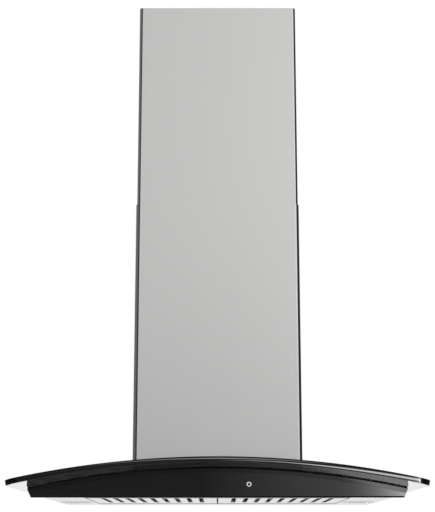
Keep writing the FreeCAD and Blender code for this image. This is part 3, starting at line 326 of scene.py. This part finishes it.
def polishedMetal(name, shade, low, high):
    # slow wear: where it is strong the metal is brighter and a little less sharp
    finish, tree, shader = newFinish(name, Metallic=1.0)
    wear = noise(tree, 60.0, detail=4.0)
    dark = tuple(0.92 * part for part in shade)
    feed(tree, shader, Base_Color=tint(tree, wear, dark, shade), Roughness=between(tree, wear, low, high))
    return finish


def frostedLens():
    # frosted cover: a fine grain in colour, gloss and bump; its pressed rings are in the mesh
    finish, tree, shader = newFinish("frostedLens", IOR=1.49, Transmission_Weight=0.65)
    grain = noise(tree, 1500.0, detail=1.0)
    feed(tree, shader, Base_Color=tint(tree, grain, (0.9, 0.9, 0.89), (0.96, 0.96, 0.95)),
         Roughness=between(tree, grain, 0.3, 0.42))
    setBump(tree, shader, grain, 0.1, 0.0001)
    return finish


finishes = {
    "steel": brushedSteel("steelAcross", steel["across"]),
    "glass": smokedGlass(),
    "black_panel": darkGloss("blackPanelGlass", (0.0018, 0.0018, 0.0021), (0.0026, 0.0026, 0.003),
                             14.0, 4.0, (1, 1, 2), IOR=1.52),
    # the white print glows of its own (emission 0.9): painted light, nothing lights it from behind
    "symbol": grainedFinish("whitePrintPaintedGlow", (0.78, 0.79, 0.8), (0.86, 0.87, 0.88), 0.45,
                            Emission_Strength=0.9),
    "galvanised": galvanisedSheet(),
    "seal": grainedFinish("blackRubber", (0.007, 0.007, 0.0075), (0.012, 0.012, 0.0125), 0.7, bump=0.1,
                          Specular_IOR_Level=0.15),
    "black_plastic": grainedFinish("blackPlastic", (0.014, 0.014, 0.015), (0.022, 0.022, 0.023), 0.45),
    "grey_plastic": grainedFinish("greyPlastic", (0.2, 0.2, 0.205), (0.25, 0.25, 0.255), 0.5),
    "white_plastic": grainedFinish("whitePlastic", (0.72, 0.72, 0.7), (0.78, 0.78, 0.76), 0.42),
    "board": circuitBoard(),
    # the lower face's wire, far darker than the upper face's, is painted shade, and so is the near black in
    # its openings
    "mesh": expandedMesh("meshBelowPaintedShade", 0.09, 0.006),
    "chrome": polishedMetal("platedSteel", (0.72, 0.73, 0.75), 0.12, 0.2),
    "lens": frostedLens(),
    "motor_steel": grainedFinish("motorPaint", (0.1, 0.105, 0.11), (0.14, 0.145, 0.15), 0.4, 500.0,
                                 Metallic=0.5),
}
# the upper face: lighter wire, with its openings painted dark as shade
meshAboveShadedOpenings = expandedMesh("meshAboveShadedOpenings", 0.6, 0.05)
uprightSteel = brushedSteel("steelUpright", steel["upright"])
# darker copies of the upright steel: painted shade for the dark reflections in the chimney's front bends;
# the 0.3 one also darkens the wire round the filters
paintedShadeSteel = brushedSteel("steelPaintedShade", steel["upright"], (0.3, 0.298, 0.295))
leftInnerPaintedShade = brushedSteel("steelLeftInnerPaintedShade", steel["upright"], (0.1, 0.1, 0.1))
rightBendPaintedShade = brushedSteel("steelRightBendPaintedShade", steel["upright"], (0.08, 0.08, 0.08))
panelEdge = grainedFinish("panelEdge", (0.0015, 0.0015, 0.0015), (0.003, 0.003, 0.003), 0.5,
                          Specular_IOR_Level=0.03)
# polished rim of the canopy: the sheet's depth behind it shows as near black
edgeFinish = darkGloss("glassEdge", (0.001, 0.0013, 0.0013), (0.002, 0.0024, 0.0024), 12.0, 2.0, IOR=1.5)
for part in frame["record"]["subparts"]:
    for materialSlot in nodes[part["node"]].material_slots:
        materialSlot.material = finishes[part["material_slot"]]
print("range hood: finishes ready")


# chimney

chimney = {
    "sheet": 0.8 * mm, "lip": 118 * mm,
    # coat number, side, and degrees off the face where it starts: painted shade, darker steel for the bends'
    # dark reflections
    "bends": ((3, -1, 3.0), (1, -1, 15.0), (2, 1, 22.0)),
    "lower": {"half": 136 * mm, "back": 0.0, "front": -225 * mm, "bend": 7 * mm, "top": 224 * mm},
    "upper": {"half": 134.55 * mm, "back": -1.45 * mm, "front": -223.55 * mm, "bend": 5.55 * mm,
              "low": 145 * mm, "top": 576.5 * mm},
}
glassArc = {"radius": 1385 * mm, "crown": -217.5 * mm, "thickness": 8 * mm}


def sheetSection(size, inset):
    # path of the sheet's outer face, or its inner one when moved in by the thickness
    half, back, front = size["half"] - inset, size["back"] - inset, size["front"] + inset
    lip = chimney["lip"]
    corners = [(-lip, back), (-half, back), (-half, front), (half, front), (half, back), (lip, back)]
    return bentPath(corners, size["bend"] - inset)


def paintedBendShade(shape, size):
    # each darker coat, painted shade for the bends' dark reflections, lies in the front bends, past x = half
    # - r + r sin(angle); the flat front keeps the first
    points, quads = shape
    x, y = points[quads].mean(1)[:, :2].T
    inBend = (y < size["front"] + size["bend"]) & (y > size["front"] + 0.01 * mm)
    paint = np.zeros(len(quads))
    for number, sign, start in chimney["bends"]:
        edge = size["half"] - size["bend"] * (1 - math.sin(math.radians(start)))
        paint[inBend & (sign * x > edge)] = number
    return paint


def sheetTube(size, lowAt):
    # the section carried up: z runs from the foot's height at that x to the top in equal steps
    share = np.linspace(0, 1, 5)[:, None]
    grids = []
    for inset in (0.0, chimney["sheet"]):
        path = sheetSection(size, inset)
        low = lowAt(path[:, 0])
        height = low + (size["top"] - low) * share
        x = np.broadcast_to(path[:, 0], height.shape)
        y = np.broadcast_to(path[:, 1], height.shape)
        grids.append(np.stack([x, y, height], -1))
    return slab(*grids)


def footOnGlass(x):
    # the glass's upper face: an arc about the same centre, a thickness further out
    thickness = glassArc["thickness"]
    return archHeight(x, glassArc["radius"] + thickness, glassArc["crown"] + thickness)


def levelFoot(x):
    # the same height at every x
    return np.full_like(x, chimney["upper"]["low"])


for name, node, body, lowAt in (("Lower", "chimney_lower", "hood", footOnGlass),
                                ("Upper", "chimney_upper", "upper_chimney", levelFoot)):
    size = chimney[name.lower()]
    shape = sheetTube(size, lowAt)
    # the front bends take the darker coats: painted shade for their dark reflections
    piece("chimney" + name, shape, body, [uprightSteel, paintedShadeSteel, rightBendPaintedShade, leftInnerPaintedShade], [node],
          sharp=50, paint=paintedBendShade(shape, size))
print("range hood: chimney made")


# glass canopy

glass = {
    "half": 300 * mm, "endFrom": 240 * mm, "front": -462 * mm, "rear": -2 * mm, "corner": 18 * mm,
    "notchHalf": 118.8 * mm, "notchFront": -207.8 * mm,
    "holeX": 185 * mm, "holeY": (-290 * mm, -60 * mm), "holeRadius": 5 * mm, "holeBlock": 10 * mm,
    "acrossSteps": (8, 6, 6, 6, 24, 6, 6, 6, 8), "alongSteps": (12, 6, 8, 14, 6, 4), "cornerSteps": 10,
    "arris": 1.4 * mm, "lean": 0.42 * mm,    # lean: the front edge's top stands back by this much
    "tip": 12 * mm,                          # the rim this near the ends is ground dull
}


def joinedSteps(stops, counts):
    # stop + (next stop - stop) * i / count between each pair of stops, the stops themselves kept once
    parts = [np.linspace(a, b, n, endpoint=False) for a, b, n in zip(stops, stops[1:], counts)]
    return np.concatenate(parts + [np.array([stops[-1]])])


def holeRing(x, y, sideSteps=6, ringRows=4):
    # ring from a square block's rim to the round hole: (1 - t) * rim + t * circle
    block = glass["holeBlock"]
    edge = np.linspace(-block, block, sideSteps, endpoint=False)
    full = np.full(sideSteps, block)
    rim = np.concatenate([np.stack([edge, -full], 1), np.stack([full, edge], 1),
                          np.stack([-edge, full], 1), np.stack([-full, -edge], 1)])
    circle = glass["holeRadius"] * rim / np.linalg.norm(rim, axis=1)[:, None]
    t = np.linspace(0, 1, ringRows)[None, :, None]
    ring = rim[:, None] * (1 - t) + circle[:, None] * t + np.array([x, y])
    ring = np.concatenate([ring, np.zeros((*ring.shape[:2], 1))], -1)
    return ring.reshape(-1, 3), gridQuads(len(rim), ringRows, closed=True)


def glassSheet():
    # flat grid over (x, y), less the chimney's notch and a block round each hole, which gets a ring instead;
    # near the front the rows narrow to follow each corner's quarter circle: r - sqrt(r^2 - (r - depth)^2)
    block, holeX, corner, front = glass["holeBlock"], glass["holeX"], glass["corner"], glass["front"]
    half = [glass["notchHalf"], holeX - block, holeX + block, glass["endFrom"], glass["half"]]
    across = joinedSteps([-v for v in half[::-1]] + half, glass["acrossSteps"])
    quarter = np.linspace(math.pi / 2, 0, glass["cornerSteps"])
    cornerRows = front + corner * (1 - np.sin(quarter))
    frontHole, rearHole = glass["holeY"]
    stops = [front + corner, frontHole - block, frontHole + block, glass["notchFront"],
             rearHole - block, rearHole + block, glass["rear"]]
    along = np.concatenate([cornerRows[:-1], joinedSteps(stops, glass["alongSteps"])])
    depth = np.clip(along - front, 0, corner)
    narrow = corner - np.sqrt(corner ** 2 - (corner - depth) ** 2)
    x, y = np.meshgrid(across, along, indexing="ij")
    outer = np.clip(np.abs(x) - glass["endFrom"], 0, None) / (glass["half"] - glass["endFrom"])
    x = x - np.sign(x) * outer * narrow[None, :]
    quads = gridQuads(*x.shape)
    middle = np.stack([x, y], -1).reshape(-1, 2)[quads].mean(1)
    keep = (np.abs(middle[:, 0]) > glass["notchHalf"]) | (middle[:, 1] < glass["notchFront"])
    shapes = []
    for side in (-1, 1):
        for holeY in glass["holeY"]:
            offset = np.abs(middle - [side * holeX, holeY]).max(1)
            keep &= offset > block
            shapes.append(holeRing(side * holeX, holeY))
    sheet = np.stack([x, y, np.zeros_like(x)], -1)
    return joined([(sheet, quads[keep])] + shapes)


def glassPlate():
    # under = the sheet bent to the arc, over = under + thickness * normal; the quads' open edges are walled
    # with the edge's coat, or with the dull one near the ends
    points, quads = glassSheet()
    places, sameAs = np.unique(np.round(points / micron), axis=0, return_inverse=True)
    under, quads = places * micron, sameAs.reshape(-1)[quads]
    radius, thickness = glassArc["radius"], glassArc["thickness"]
    under[:, 2] = archHeight(under[:, 0], radius, glassArc["crown"])
    sine = under[:, 0] / radius
    over = under + thickness * np.stack([sine, np.zeros_like(sine), np.sqrt(1 - sine ** 2)], 1)
    ahead = np.clip(1 - (under[:, 1] - glass["front"]) / glass["corner"], 0, 1)
    over[:, 1] += glass["lean"] * ahead
    edges = np.concatenate([quads[:, [k, (k + 1) % 4]] for k in range(4)])
    pairs, counts = np.unique(np.sort(edges, 1), axis=0, return_counts=True)
    rim = pairs[counts == 1]
    count = len(under)
    sides = np.stack([rim[:, 0], rim[:, 1], rim[:, 1] + count, rim[:, 0] + count], 1)
    tips = np.abs(under[rim, 0]).mean(1) > glass["half"] - glass["tip"]
    paint = np.concatenate([np.zeros(2 * len(quads)), 1 + tips])
    return (np.concatenate([under, over]), np.concatenate([quads, quads + count, sides])), paint


plate, platePaint = glassPlate()
canopy = piece("glassCanopy", plate, "hood", [finishes["glass"], edgeFinish, panelEdge],
               ["glass_canopy"], flat=False, paint=platePaint)
arris = bevelEdges(canopy, "arris", glass["arris"], 3, 50)
arris.material = 1
print("range hood: glass made")


# front panel

panel = {
    "bottomHalf": 280 * mm, "topHalf": 286 * mm, "bottom": -262 * mm, "crown": -219 * mm,
    "radius": 1383.5 * mm, "face": -337 * mm, "back": -333 * mm, "bevel": 2 * mm, "softEdge": 0.25 * mm,
    "columns": 81, "bevelRows": 2, "faceRows": 8,
}
symbol = {
    "x": 47.4 * mm, "z": -242.2 * mm, "radius": 3.4 * mm, "stroke": 0.75 * mm, "gap": 35.0,
    "face": -337.05 * mm, "back": -336.6 * mm, "barLow": 0.8 * mm, "barTop": 3.8 * mm,
}
seal = {
    "columns": 81, "bite": 0.01 * mm,    # bite: how far the strip's top goes into the glass
    # node, then left, right, front and rear in millimetres
    "sealFront": ("seal_front", (-285.5, 285.5, -333, -321)),
    "sealRearLeft": ("seal_rear_left", (-261, -118.8, -24, -12)),
    "sealRearRight": ("seal_rear_right", (118.8, 261, -24, -12)),
}


def panelPlate():
    # x = u (bottom half + v * spread), z = bottom + v * rise(u); v has a few rows over the low bevel, where
    # the face draws back, and the rest from there to the arc
    bevelRows, faceRows = panel["bevelRows"], panel["faceRows"]
    u, row = np.meshgrid(np.linspace(-1, 1, panel["columns"]), np.arange(bevelRows + faceRows + 1),
                         indexing="ij")
    rise = archHeight(u * panel["topHalf"], panel["radius"], panel["crown"]) - panel["bottom"]
    low = panel["bevel"] / rise
    v = np.where(row <= bevelRows, low * row / bevelRows, low + (1 - low) * (row - bevelRows) / faceRows)
    x = u * (panel["bottomHalf"] + v * (panel["topHalf"] - panel["bottomHalf"]))
    z = panel["bottom"] + v * rise
    drawn = np.clip(panel["bevel"] - v * rise, 0, None)
    return slab(np.stack([x, panel["face"] + drawn, z], -1),
                np.stack([x, np.full_like(x, panel["back"]), z], -1))


def powerSymbol():
    # broken ring: radius r between its two edges, angle a from one side of the gap to the other; then a bar
    gap = math.radians(symbol["gap"])
    angle, radius = np.meshgrid(np.linspace(gap, 2 * math.pi - gap, 49),
                                [symbol["radius"] - symbol["stroke"], symbol["radius"]], indexing="ij")
    x, z = symbol["x"] + radius * np.sin(angle), symbol["z"] + radius * np.cos(angle)
    barX, barZ = np.meshgrid(symbol["x"] + np.array([-0.5, 0.5]) * symbol["stroke"],
                             symbol["z"] + np.array([symbol["barLow"], symbol["barTop"]]), indexing="ij")
    return joined([slab(np.stack([a, np.full_like(a, symbol["face"]), b], -1),
                        np.stack([a, np.full_like(a, symbol["back"]), b], -1))
                   for a, b in ((x, z), (barX, barZ))])


def sealStrip(left, right, front, rear):
    # strip between the panel's arc and the glass: z = archHeight(x) at its lower and its upper radius
    x, y = np.meshgrid(np.linspace(left, right, seal["columns"]), np.linspace(front, rear, 3), indexing="ij")
    low = archHeight(x, panel["radius"], panel["crown"])
    high = archHeight(x, glassArc["radius"], glassArc["crown"]) + seal["bite"]
    return slab(np.stack([x, y, low], -1), np.stack([x, y, high], -1))


plate = panelPlate()
middle = plate[0][plate[1]].mean(1)
lowBevel = middle[:, 2] < panel["bottom"] + panel["bevel"]
piece("frontPanel", plate, "hood", [finishes["black_panel"], panelEdge], ["front_panel"],
      bevel=panel["softEdge"], paint=lowBevel)
piece("powerSymbol", powerSymbol(), "hood", [finishes["symbol"]], ["power_symbol"])
for name in ("sealFront", "sealRearLeft", "sealRearRight"):
    node, size = seal[name]
    piece(name, sealStrip(*np.array(size) * mm), "hood", [finishes["seal"]], [node])
print("range hood: front panel made")


# lamps

lamp = {
    "x": 230.95 * mm, "y": -151 * mm, "tray": -262 * mm, "bezel": 26 * mm, "lens": 20.3 * mm,
    "body": 23.5 * mm, "height": 14 * mm, "lip": 1.2 * mm, "recess": 2.4 * mm,
    "rimFlat": 0.6 * mm, "rimEdge": 0.15 * mm, "rimRise": 0.25 * mm,    # the bezel's rounded rim
}
lens = {
    "gap": 0.05 * mm, "low": -0.72 * mm, "ripple": 0.08 * mm, "rings": 9, "top": 1.25 * mm, "points": 50,
}


def lampBody(x):
    # profile from the lens's seat out over the bezel, up the body and down inside it
    seat, bezel, body, height, low = lamp["lens"], lamp["bezel"], lamp["body"], lamp["height"], -lamp["lip"]
    inside = height - lamp["recess"]
    corners = [(seat, low), (bezel - lamp["rimFlat"], low), (bezel - lamp["rimEdge"], low + lamp["rimRise"]),
               (bezel, 0), (body, 0), (body, height), (0, height), (0, inside), (seat / 2, inside),
               (seat, lamp["recess"]), (seat, low)]
    return turned(corners, (x, lamp["y"], lamp["tray"]))


def lampLens(x):
    # the lower face ripples in rings: height = low + a (1 - cos(rings * 2 pi * r / edge))
    edge = lamp["lens"] - lens["gap"]
    r = np.linspace(0, edge, lens["points"])
    ripple = lens["low"] + lens["ripple"] * (1 - np.cos(lens["rings"] * 2 * math.pi * r / edge))
    corners = list(zip(r, ripple)) + [(edge, lens["top"]), (0, lens["top"])]
    return turned(corners, (x, lamp["y"], lamp["tray"]))


for side, name in ((-1, "Left"), (1, "Right")):
    small = name.lower()
    piece("lamp" + name, lampBody(side * lamp["x"]), "hood", [finishes["white_plastic"]],
          ["lamp_" + small])
    piece("lampLens" + name, lampLens(side * lamp["x"]), "hood", [finishes["lens"]],
          ["lamp_lens_" + small])
print("range hood: lamps made")


# grease filters, and a dark wire round the tray's opening: painted shade for the shadow in the gap round the
# filters

greaseFilter = {
    "middle": 99.95 * mm, "half": 97.95 * mm, "face": -262 * mm,
    "slotSpread": 149.2 * mm, "slotCount": 9, "slotFront": -310 * mm, "slotRear": -128 * mm,
    "slotHalf": 4 * mm, "lipHeight": 2.8 * mm, "lipSheet": 0.4 * mm, "lipGap": 0.02 * mm,
    "meshFront": -310.8 * mm, "meshRear": -80.5 * mm, "meshLow": -258.9 * mm, "meshHigh": -254.3 * mm,
    "meshSheet": 0.4 * mm, "pleats": 28,
}
openingRimShadeLine = {
    "half": 199.8 * mm, "front": -326.1 * mm, "rear": -71.9 * mm, "height": -262.3 * mm,
    "wire": 0.45 * mm, "corner": 2 * mm,
}


def slotLip(x):
    # stadium: two half circles joined by straight sides; its wall runs from the face up to the lip's height
    reach = greaseFilter["slotHalf"]
    t = np.linspace(0, math.pi, 13)
    rings = []
    for radius in (reach - greaseFilter["lipGap"], reach - greaseFilter["lipSheet"]):
        rear = np.stack([x + radius * np.cos(t), greaseFilter["slotRear"] - reach + radius * np.sin(t)], 1)
        front = np.stack([x - radius * np.cos(t), greaseFilter["slotFront"] + reach - radius * np.sin(t)], 1)
        rings.append(np.concatenate([rear, front]))
    low, high = greaseFilter["face"], greaseFilter["face"] + greaseFilter["lipHeight"]
    order = [(rings[0], low), (rings[1], low), (rings[1], high), (rings[0], high), (rings[0], low)]
    points = np.stack([np.concatenate([ring, np.full((len(ring), 1), z)], 1) for ring, z in order], 1)
    return points.reshape(-1, 3), gridQuads(len(rings[0]), len(order), closed=True)


def pleatedMesh(middle):
    # zigzag across the filter: height swings between low and high at equal steps
    x = middle + np.linspace(-1, 1, 2 * greaseFilter["pleats"] + 1) * greaseFilter["half"]
    z = np.where(np.arange(len(x)) % 2, greaseFilter["meshHigh"], greaseFilter["meshLow"])
    along = np.linspace(greaseFilter["meshFront"], greaseFilter["meshRear"], 3)
    grid = np.stack(np.broadcast_arrays(x[:, None], along[None, :], z[:, None]), -1)
    return slab(grid, grid + np.array([0, 0, greaseFilter["meshSheet"]]))


def rimWire():
    # dark wire swept round the opening, painted shade for the gap's shadow: point = path + r cos a * outward
    # + r sin a * up
    half, front, rear = openingRimShadeLine["half"], openingRimShadeLine["front"], openingRimShadeLine["rear"]
    corners = [(0, rear), (-half, rear), (-half, front), (half, front), (half, rear), (0, rear)]
    path = bentPath(corners, openingRimShadeLine["corner"], 7)[:-1]
    along = np.roll(path, -1, 0) - np.roll(path, 1, 0)
    along /= np.linalg.norm(along, axis=1)[:, None]
    angle = np.linspace(0, 2 * math.pi, 13)[None, :]
    wire = openingRimShadeLine["wire"]
    points = np.stack([path[:, :1] + wire * np.cos(angle) * along[:, 1:],
                       path[:, 1:] - wire * np.cos(angle) * along[:, :1],
                       openingRimShadeLine["height"] + wire * np.sin(angle) + 0 * path[:, :1]], -1)
    return points.reshape(-1, 3), gridQuads(len(path), angle.size, closed=True)


for side, name in ((-1, "Left"), (1, "Right")):
    small = name.lower()
    middle = side * greaseFilter["middle"]
    spread = greaseFilter["slotSpread"] / 2
    places = np.linspace(middle - spread, middle + spread, greaseFilter["slotCount"])
    piece("slotLips" + name, joined([slotLip(x) for x in places]), "filter_" + small,
          [finishes["steel"]])
    sheet = pleatedMesh(middle)
    upper = np.arange(len(sheet[1])) >= 4 * greaseFilter["pleats"]    # the quads after the lower face's
    # the lower face takes the darker copy of the mesh, painted shade; the upper face and the rim take the
    # lighter one
    piece("filterMesh" + name, sheet, "filter_" + small, [finishes["mesh"], meshAboveShadedOpenings],
          ["filter_mesh_" + small], flat=False, paint=upper)
# the wire takes the darker steel: painted shade, a dark line where the gap round the filters lies in shadow
piece("openingRimShadeLine", rimWire(), "hood", [paintedShadeSteel])
print("range hood: filters made")


# stage: world, floor, light card, softboxes and camera

# what shiny things mirror: each stop is a place and the level there. Height runs from 0, straight down, to
# 1, straight up, with the horizon at 0.5. Side runs from 0 at the wall past the left at 0.25, the front at
# 0.5 and the right at 0.75 to the wall again. Four numbers are a level, another, and the places of the two
studio = {
    "steelByHeight": [(0.0, 0.95), (0.45, 0.95), (0.5, 0.57), (0.54, 0.62), (0.58, 0.765), (0.62, 0.84),
                      (0.67, 0.84), (0.7, 0.82), (1.0, 0.8)],
    "glassAhead": [(0.0, 0.1), (0.05, 0.12), (0.15, 0.28), (0.6, 0.28), (0.66, 0.45), (0.85, 0.3),
                   (0.95, 0.12), (1.0, 0.1)],
    "glassBehind": [(0.3, 0.0), (0.42, 1.2), (0.46, 1.25), (0.5, 0.4), (0.52, 0.0)],
    "aheadFade": (1.0, 0.25, 0.0, 0.6), "behindFade": (0.0, 1.0, -0.1, 0.3),
    "cardedSides": [(0.0, 1.0), (0.08, 1.0), (0.12, 0.5), (0.37, 0.55), (0.395, 0.1), (0.435, 0.1),
                    (0.455, 0.9), (0.5, 1.0), (0.53, 1.3), (0.62, 1.45), (0.64, 0.08), (0.7, 0.08),
                    (0.715, 0.5), (0.88, 0.5), (0.92, 1.0)],
    "openSides": [(0.0, 1.0), (0.08, 1.0), (0.12, 0.5), (0.37, 0.55), (0.455, 0.9), (0.5, 1.0),
                  (0.53, 1.2), (0.62, 1.1), (0.715, 0.55), (0.88, 0.5), (0.92, 1.0)],
    "cardsFrom": (0.0, 1.0, 0.46, 0.5), "cardsUpTo": (1.0, 0.0, 0.705, 0.735),
    "ambient": 0.85,
}
floorSheet = {"height": -4.2, "half": 23.6, "grey": 0.86, "roughness": 0.9, "glow": 0.35}
glowCard = {
    "y": -0.8, "left": -0.3, "right": 0.48, "low": -0.36, "high": -0.13,
    "gentle": (0.0, 1.7, -0.03, 0.5), "steep": (0.0, 2.0, 0.2, 0.51), "steepLevel": 8.5,
    "slant": 0.17, "slantFade": (1.0, 0.3, -0.1746, -0.1706),
    "image": (0.0, 5.6, 0.07, 0.324), "imageFade": (1.0, 0.0, -0.275, -0.262),
    "topFade": (1.0, 0.0, -0.195, -0.185), "rightFade": (1.0, 0.0, 0.44, 0.48),
    "arc": 0.2555, "softness": (1.0, 0.0, 0.7, 1.3),
    "strips": [{"middle": (-0.1563, -0.1592, 0.1, 0.306), "half": (0.0005, 0.0018, 0.12, 0.306),
                "rise": (0.3, 10.0, 0.0, 0.12), "more": (0.0, 2.0, 0.12, 0.306)},
               {"middle": (-0.1531, -0.1531, 0.0, 1.0), "half": (0.0006, 0.0006, 0.0, 1.0),
                "rise": (0.0, 7.0, -0.24, 0.0), "more": (0.0, -7.0, 0.04, 0.2)}],
}
softboxes = {
    "aim": (0, -0.2, 0.0), "size": (1.6, 1.2),
    # place and watts
    "highFront": ((-1.0, -2.4, 2.6), 30), "highBack": ((1.2, 1.8, 2.2), 18),
}
photoView = {"place": (0.0, -2.270, -0.337), "rise": 13.0, "lens": 89.2, "sensor": 36, "clip": (0.02, 60)}


def ramp(tree, factor, stops):
    # straight lines from stop to stop, each a place and a grey level
    made = shaderNode(tree, "ShaderNodeValToRGB", {0: factor})
    elements = made.color_ramp.elements
    while len(elements) < len(stops):
        elements.new(0.5)
    for element, (position, value) in zip(elements, stops):
        element.position = position
        element.color = (value, value, value, 1)
    return made.outputs[0]


def studioWorld():
    # metal mirrors a level by height times one by side, with dark cards left and right from the horizon to
    # some 28 degrees up; glass mirrors a level by height of its own, dark ahead and bright low down behind
    world = bpy.data.worlds.new("studio")
    bpy.context.scene.world = world
    world.use_nodes = True
    tree = world.node_tree
    tree.nodes.clear()
    direction = shaderNode(tree, "ShaderNodeSeparateXYZ",
                           {0: shaderNode(tree, "ShaderNodeTexCoord").outputs["Generated"]})
    x, y, z = direction.outputs
    azimuth = maths(tree, "ARCTAN2", x, maths(tree, "MULTIPLY", y, -1.0))
    side = between(tree, azimuth, 0.0, 1.0, -math.pi, math.pi)
    height = between(tree, z, 0.0, 1.0, -1.0, 1.0)
    forSteel = ramp(tree, height, studio["steelByHeight"])
    ahead = maths(tree, "MULTIPLY", ramp(tree, height, studio["glassAhead"]),
                  between(tree, y, *studio["aheadFade"]))
    behind = maths(tree, "MULTIPLY", ramp(tree, height, studio["glassBehind"]),
                   between(tree, y, *studio["behindFade"]))
    forGlass = maths(tree, "MAXIMUM", ahead, behind)
    cardHeights = maths(tree, "MULTIPLY", between(tree, height, *studio["cardsFrom"]),
                        between(tree, height, *studio["cardsUpTo"]))
    bySide = mixed(tree, cardHeights, ramp(tree, side, studio["openSides"]),
                   ramp(tree, side, studio["cardedSides"]))
    path = shaderNode(tree, "ShaderNodeLightPath").outputs
    byHeight = mixed(tree, path["Is Singular Ray"], forSteel, forGlass)
    glossy = maths(tree, "MULTIPLY", byHeight, bySide)
    seen = maths(tree, "MAXIMUM", path["Is Camera Ray"], path["Is Transmission Ray"])
    ambient = mixed(tree, path["Is Glossy Ray"], studio["ambient"], glossy)
    strength = mixed(tree, seen, ambient, 1.0)
    background = shaderNode(tree, "ShaderNodeBackground", {"Color": (1, 1, 1, 1), "Strength": strength})
    feed(tree, shaderNode(tree, "ShaderNodeOutputWorld"), Surface=background.outputs[0])


def stageSheet(name, corners, finish):
    # one flat quad beside or below the object
    mesh = bpy.data.meshes.new(name)
    mesh.from_pydata(corners, [], [(0, 1, 2, 3)])
    mesh.materials.append(finish)
    return placed(name, mesh)


def paleFloor():
    # white to the camera, in metal and through glass, less the object's own shadow; pale to other light
    half, height, grey = floorSheet["half"], floorSheet["height"], floorSheet["grey"]
    finish, tree, shader = newFinish("paleFloor", Roughness=floorSheet["roughness"],
                                     Base_Color=(grey, grey, grey, 1))
    path = shaderNode(tree, "ShaderNodeLightPath").outputs
    seen = maths(tree, "MAXIMUM", path["Is Camera Ray"],
                 maths(tree, "MAXIMUM", path["Is Glossy Ray"], path["Is Transmission Ray"]))
    glow = shaderNode(tree, "ShaderNodeEmission", {"Color": (1, 1, 1, 1), "Strength": floorSheet["glow"]})
    lit = shaderNode(tree, "ShaderNodeAddShader", {0: shader.outputs[0], 1: glow.outputs[0]})
    either = shaderNode(tree, "ShaderNodeMixShader", {0: seen, 1: shader.outputs[0], 2: lit.outputs[0]})
    feed(tree, tree.nodes["Material Output"], Surface=either.outputs[0])
    floor = stageSheet("floor", [(-half, -half, height), (half, -half, height),
                                 (half, half, height), (-half, half, height)], finish)


def lowCard():
    # glowing card low at the right, seen by sharp mirrors only. Its sheen, for the panel, is a gentle rise
    # along x and a steep one, 8.5 ((x - 0.2) / 0.155)^3, which drops to three tenths above a slanting line.
    # Below z = -0.262 it goes over to a plain rise, which the panel's image in the glass shows. Two thin
    # strips, for the glass's edge, follow the edge's arc: z + arc x^2 = middle, soft over their half width
    left, right, low, high = (glowCard[edge] for edge in ("left", "right", "low", "high"))
    finish = bpy.data.materials.new("cardGlow")
    finish.use_nodes = True
    tree = finish.node_tree
    tree.nodes.clear()
    x, y, z = shaderNode(tree, "ShaderNodeSeparateXYZ",
                         {0: shaderNode(tree, "ShaderNodeTexCoord").outputs["Object"]}).outputs
    cubed = maths(tree, "POWER", between(tree, x, *glowCard["steep"]), 3.0)
    steep = maths(tree, "MULTIPLY", cubed, glowCard["steepLevel"])
    slanted = maths(tree, "ADD", z, maths(tree, "MULTIPLY", x, glowCard["slant"]))
    steep = maths(tree, "MULTIPLY", steep, between(tree, slanted, *glowCard["slantFade"]))
    sheen = maths(tree, "ADD", steep, between(tree, x, *glowCard["gentle"]))
    sheen = mixed(tree, between(tree, z, *glowCard["imageFade"]), sheen,
                  between(tree, x, *glowCard["image"]))
    sheen = maths(tree, "MULTIPLY", sheen, between(tree, z, *glowCard["topFade"]))
    sheen = maths(tree, "MULTIPLY", sheen, between(tree, x, *glowCard["rightFade"]))
    arc = maths(tree, "ADD", z, maths(tree, "MULTIPLY", maths(tree, "MULTIPLY", x, x), glowCard["arc"]))
    lines = []
    for strip in glowCard["strips"]:
        off = maths(tree, "ABSOLUTE", maths(tree, "SUBTRACT", arc, between(tree, x, *strip["middle"])))
        fade = maths(tree, "DIVIDE", off, between(tree, x, *strip["half"]))
        level = maths(tree, "ADD", between(tree, x, *strip["rise"]), between(tree, x, *strip["more"]))
        lines.append(maths(tree, "MULTIPLY", level, between(tree, fade, *glowCard["softness"])))
    total = maths(tree, "ADD", sheen, maths(tree, "ADD", *lines))
    sharpOnly = shaderNode(tree, "ShaderNodeLightPath").outputs["Is Singular Ray"]
    glow = shaderNode(tree, "ShaderNodeEmission", {"Strength": maths(tree, "MULTIPLY", total, sharpOnly)})
    clear = shaderNode(tree, "ShaderNodeBsdfTransparent")
    both = shaderNode(tree, "ShaderNodeAddShader", {0: glow.outputs[0], 1: clear.outputs[0]})
    feed(tree, shaderNode(tree, "ShaderNodeOutputMaterial"), Surface=both.outputs[0])
    card = stageSheet("lowCard", [(left, glowCard["y"], low), (left, glowCard["y"], high),
                                  (right, glowCard["y"], high), (right, glowCard["y"], low)], finish)
    card.visible_camera = card.visible_diffuse = card.visible_transmission = card.visible_shadow = False


def softbox(name):
    # turned to its aim: tilt = atan2(level distance, drop), then round z by atan2(-x, y)
    place, watts = softboxes[name]
    light = bpy.data.lights.new(name, "AREA")
    light.shape = "RECTANGLE"
    light.size, light.size_y = softboxes["size"]
    light.energy = watts
    made = placed(name, light)
    made.location = place
    x, y, z = np.array(softboxes["aim"], float) - np.array(place, float)
    made.rotation_euler = (math.atan2(math.hypot(x, y), -z), 0, math.atan2(-x, y))
    made.visible_camera = made.visible_glossy = False


studioWorld()
paleFloor()
lowCard()
softbox("highFront")
softbox("highBack")

view = bpy.data.cameras.new("photoView")
view.lens, view.sensor_width, view.sensor_fit = photoView["lens"], photoView["sensor"], "AUTO"
view.clip_start, view.clip_end = photoView["clip"]
camera = placed("photoView", view)
camera.location = photoView["place"]
camera.rotation_euler = (math.radians(90 + photoView["rise"]), 0, 0)
bpy.context.scene.camera = camera
bpy.context.scene.view_settings.view_transform = "Standard"
print("range hood: stage ready")

bpy.context.view_layer.update()
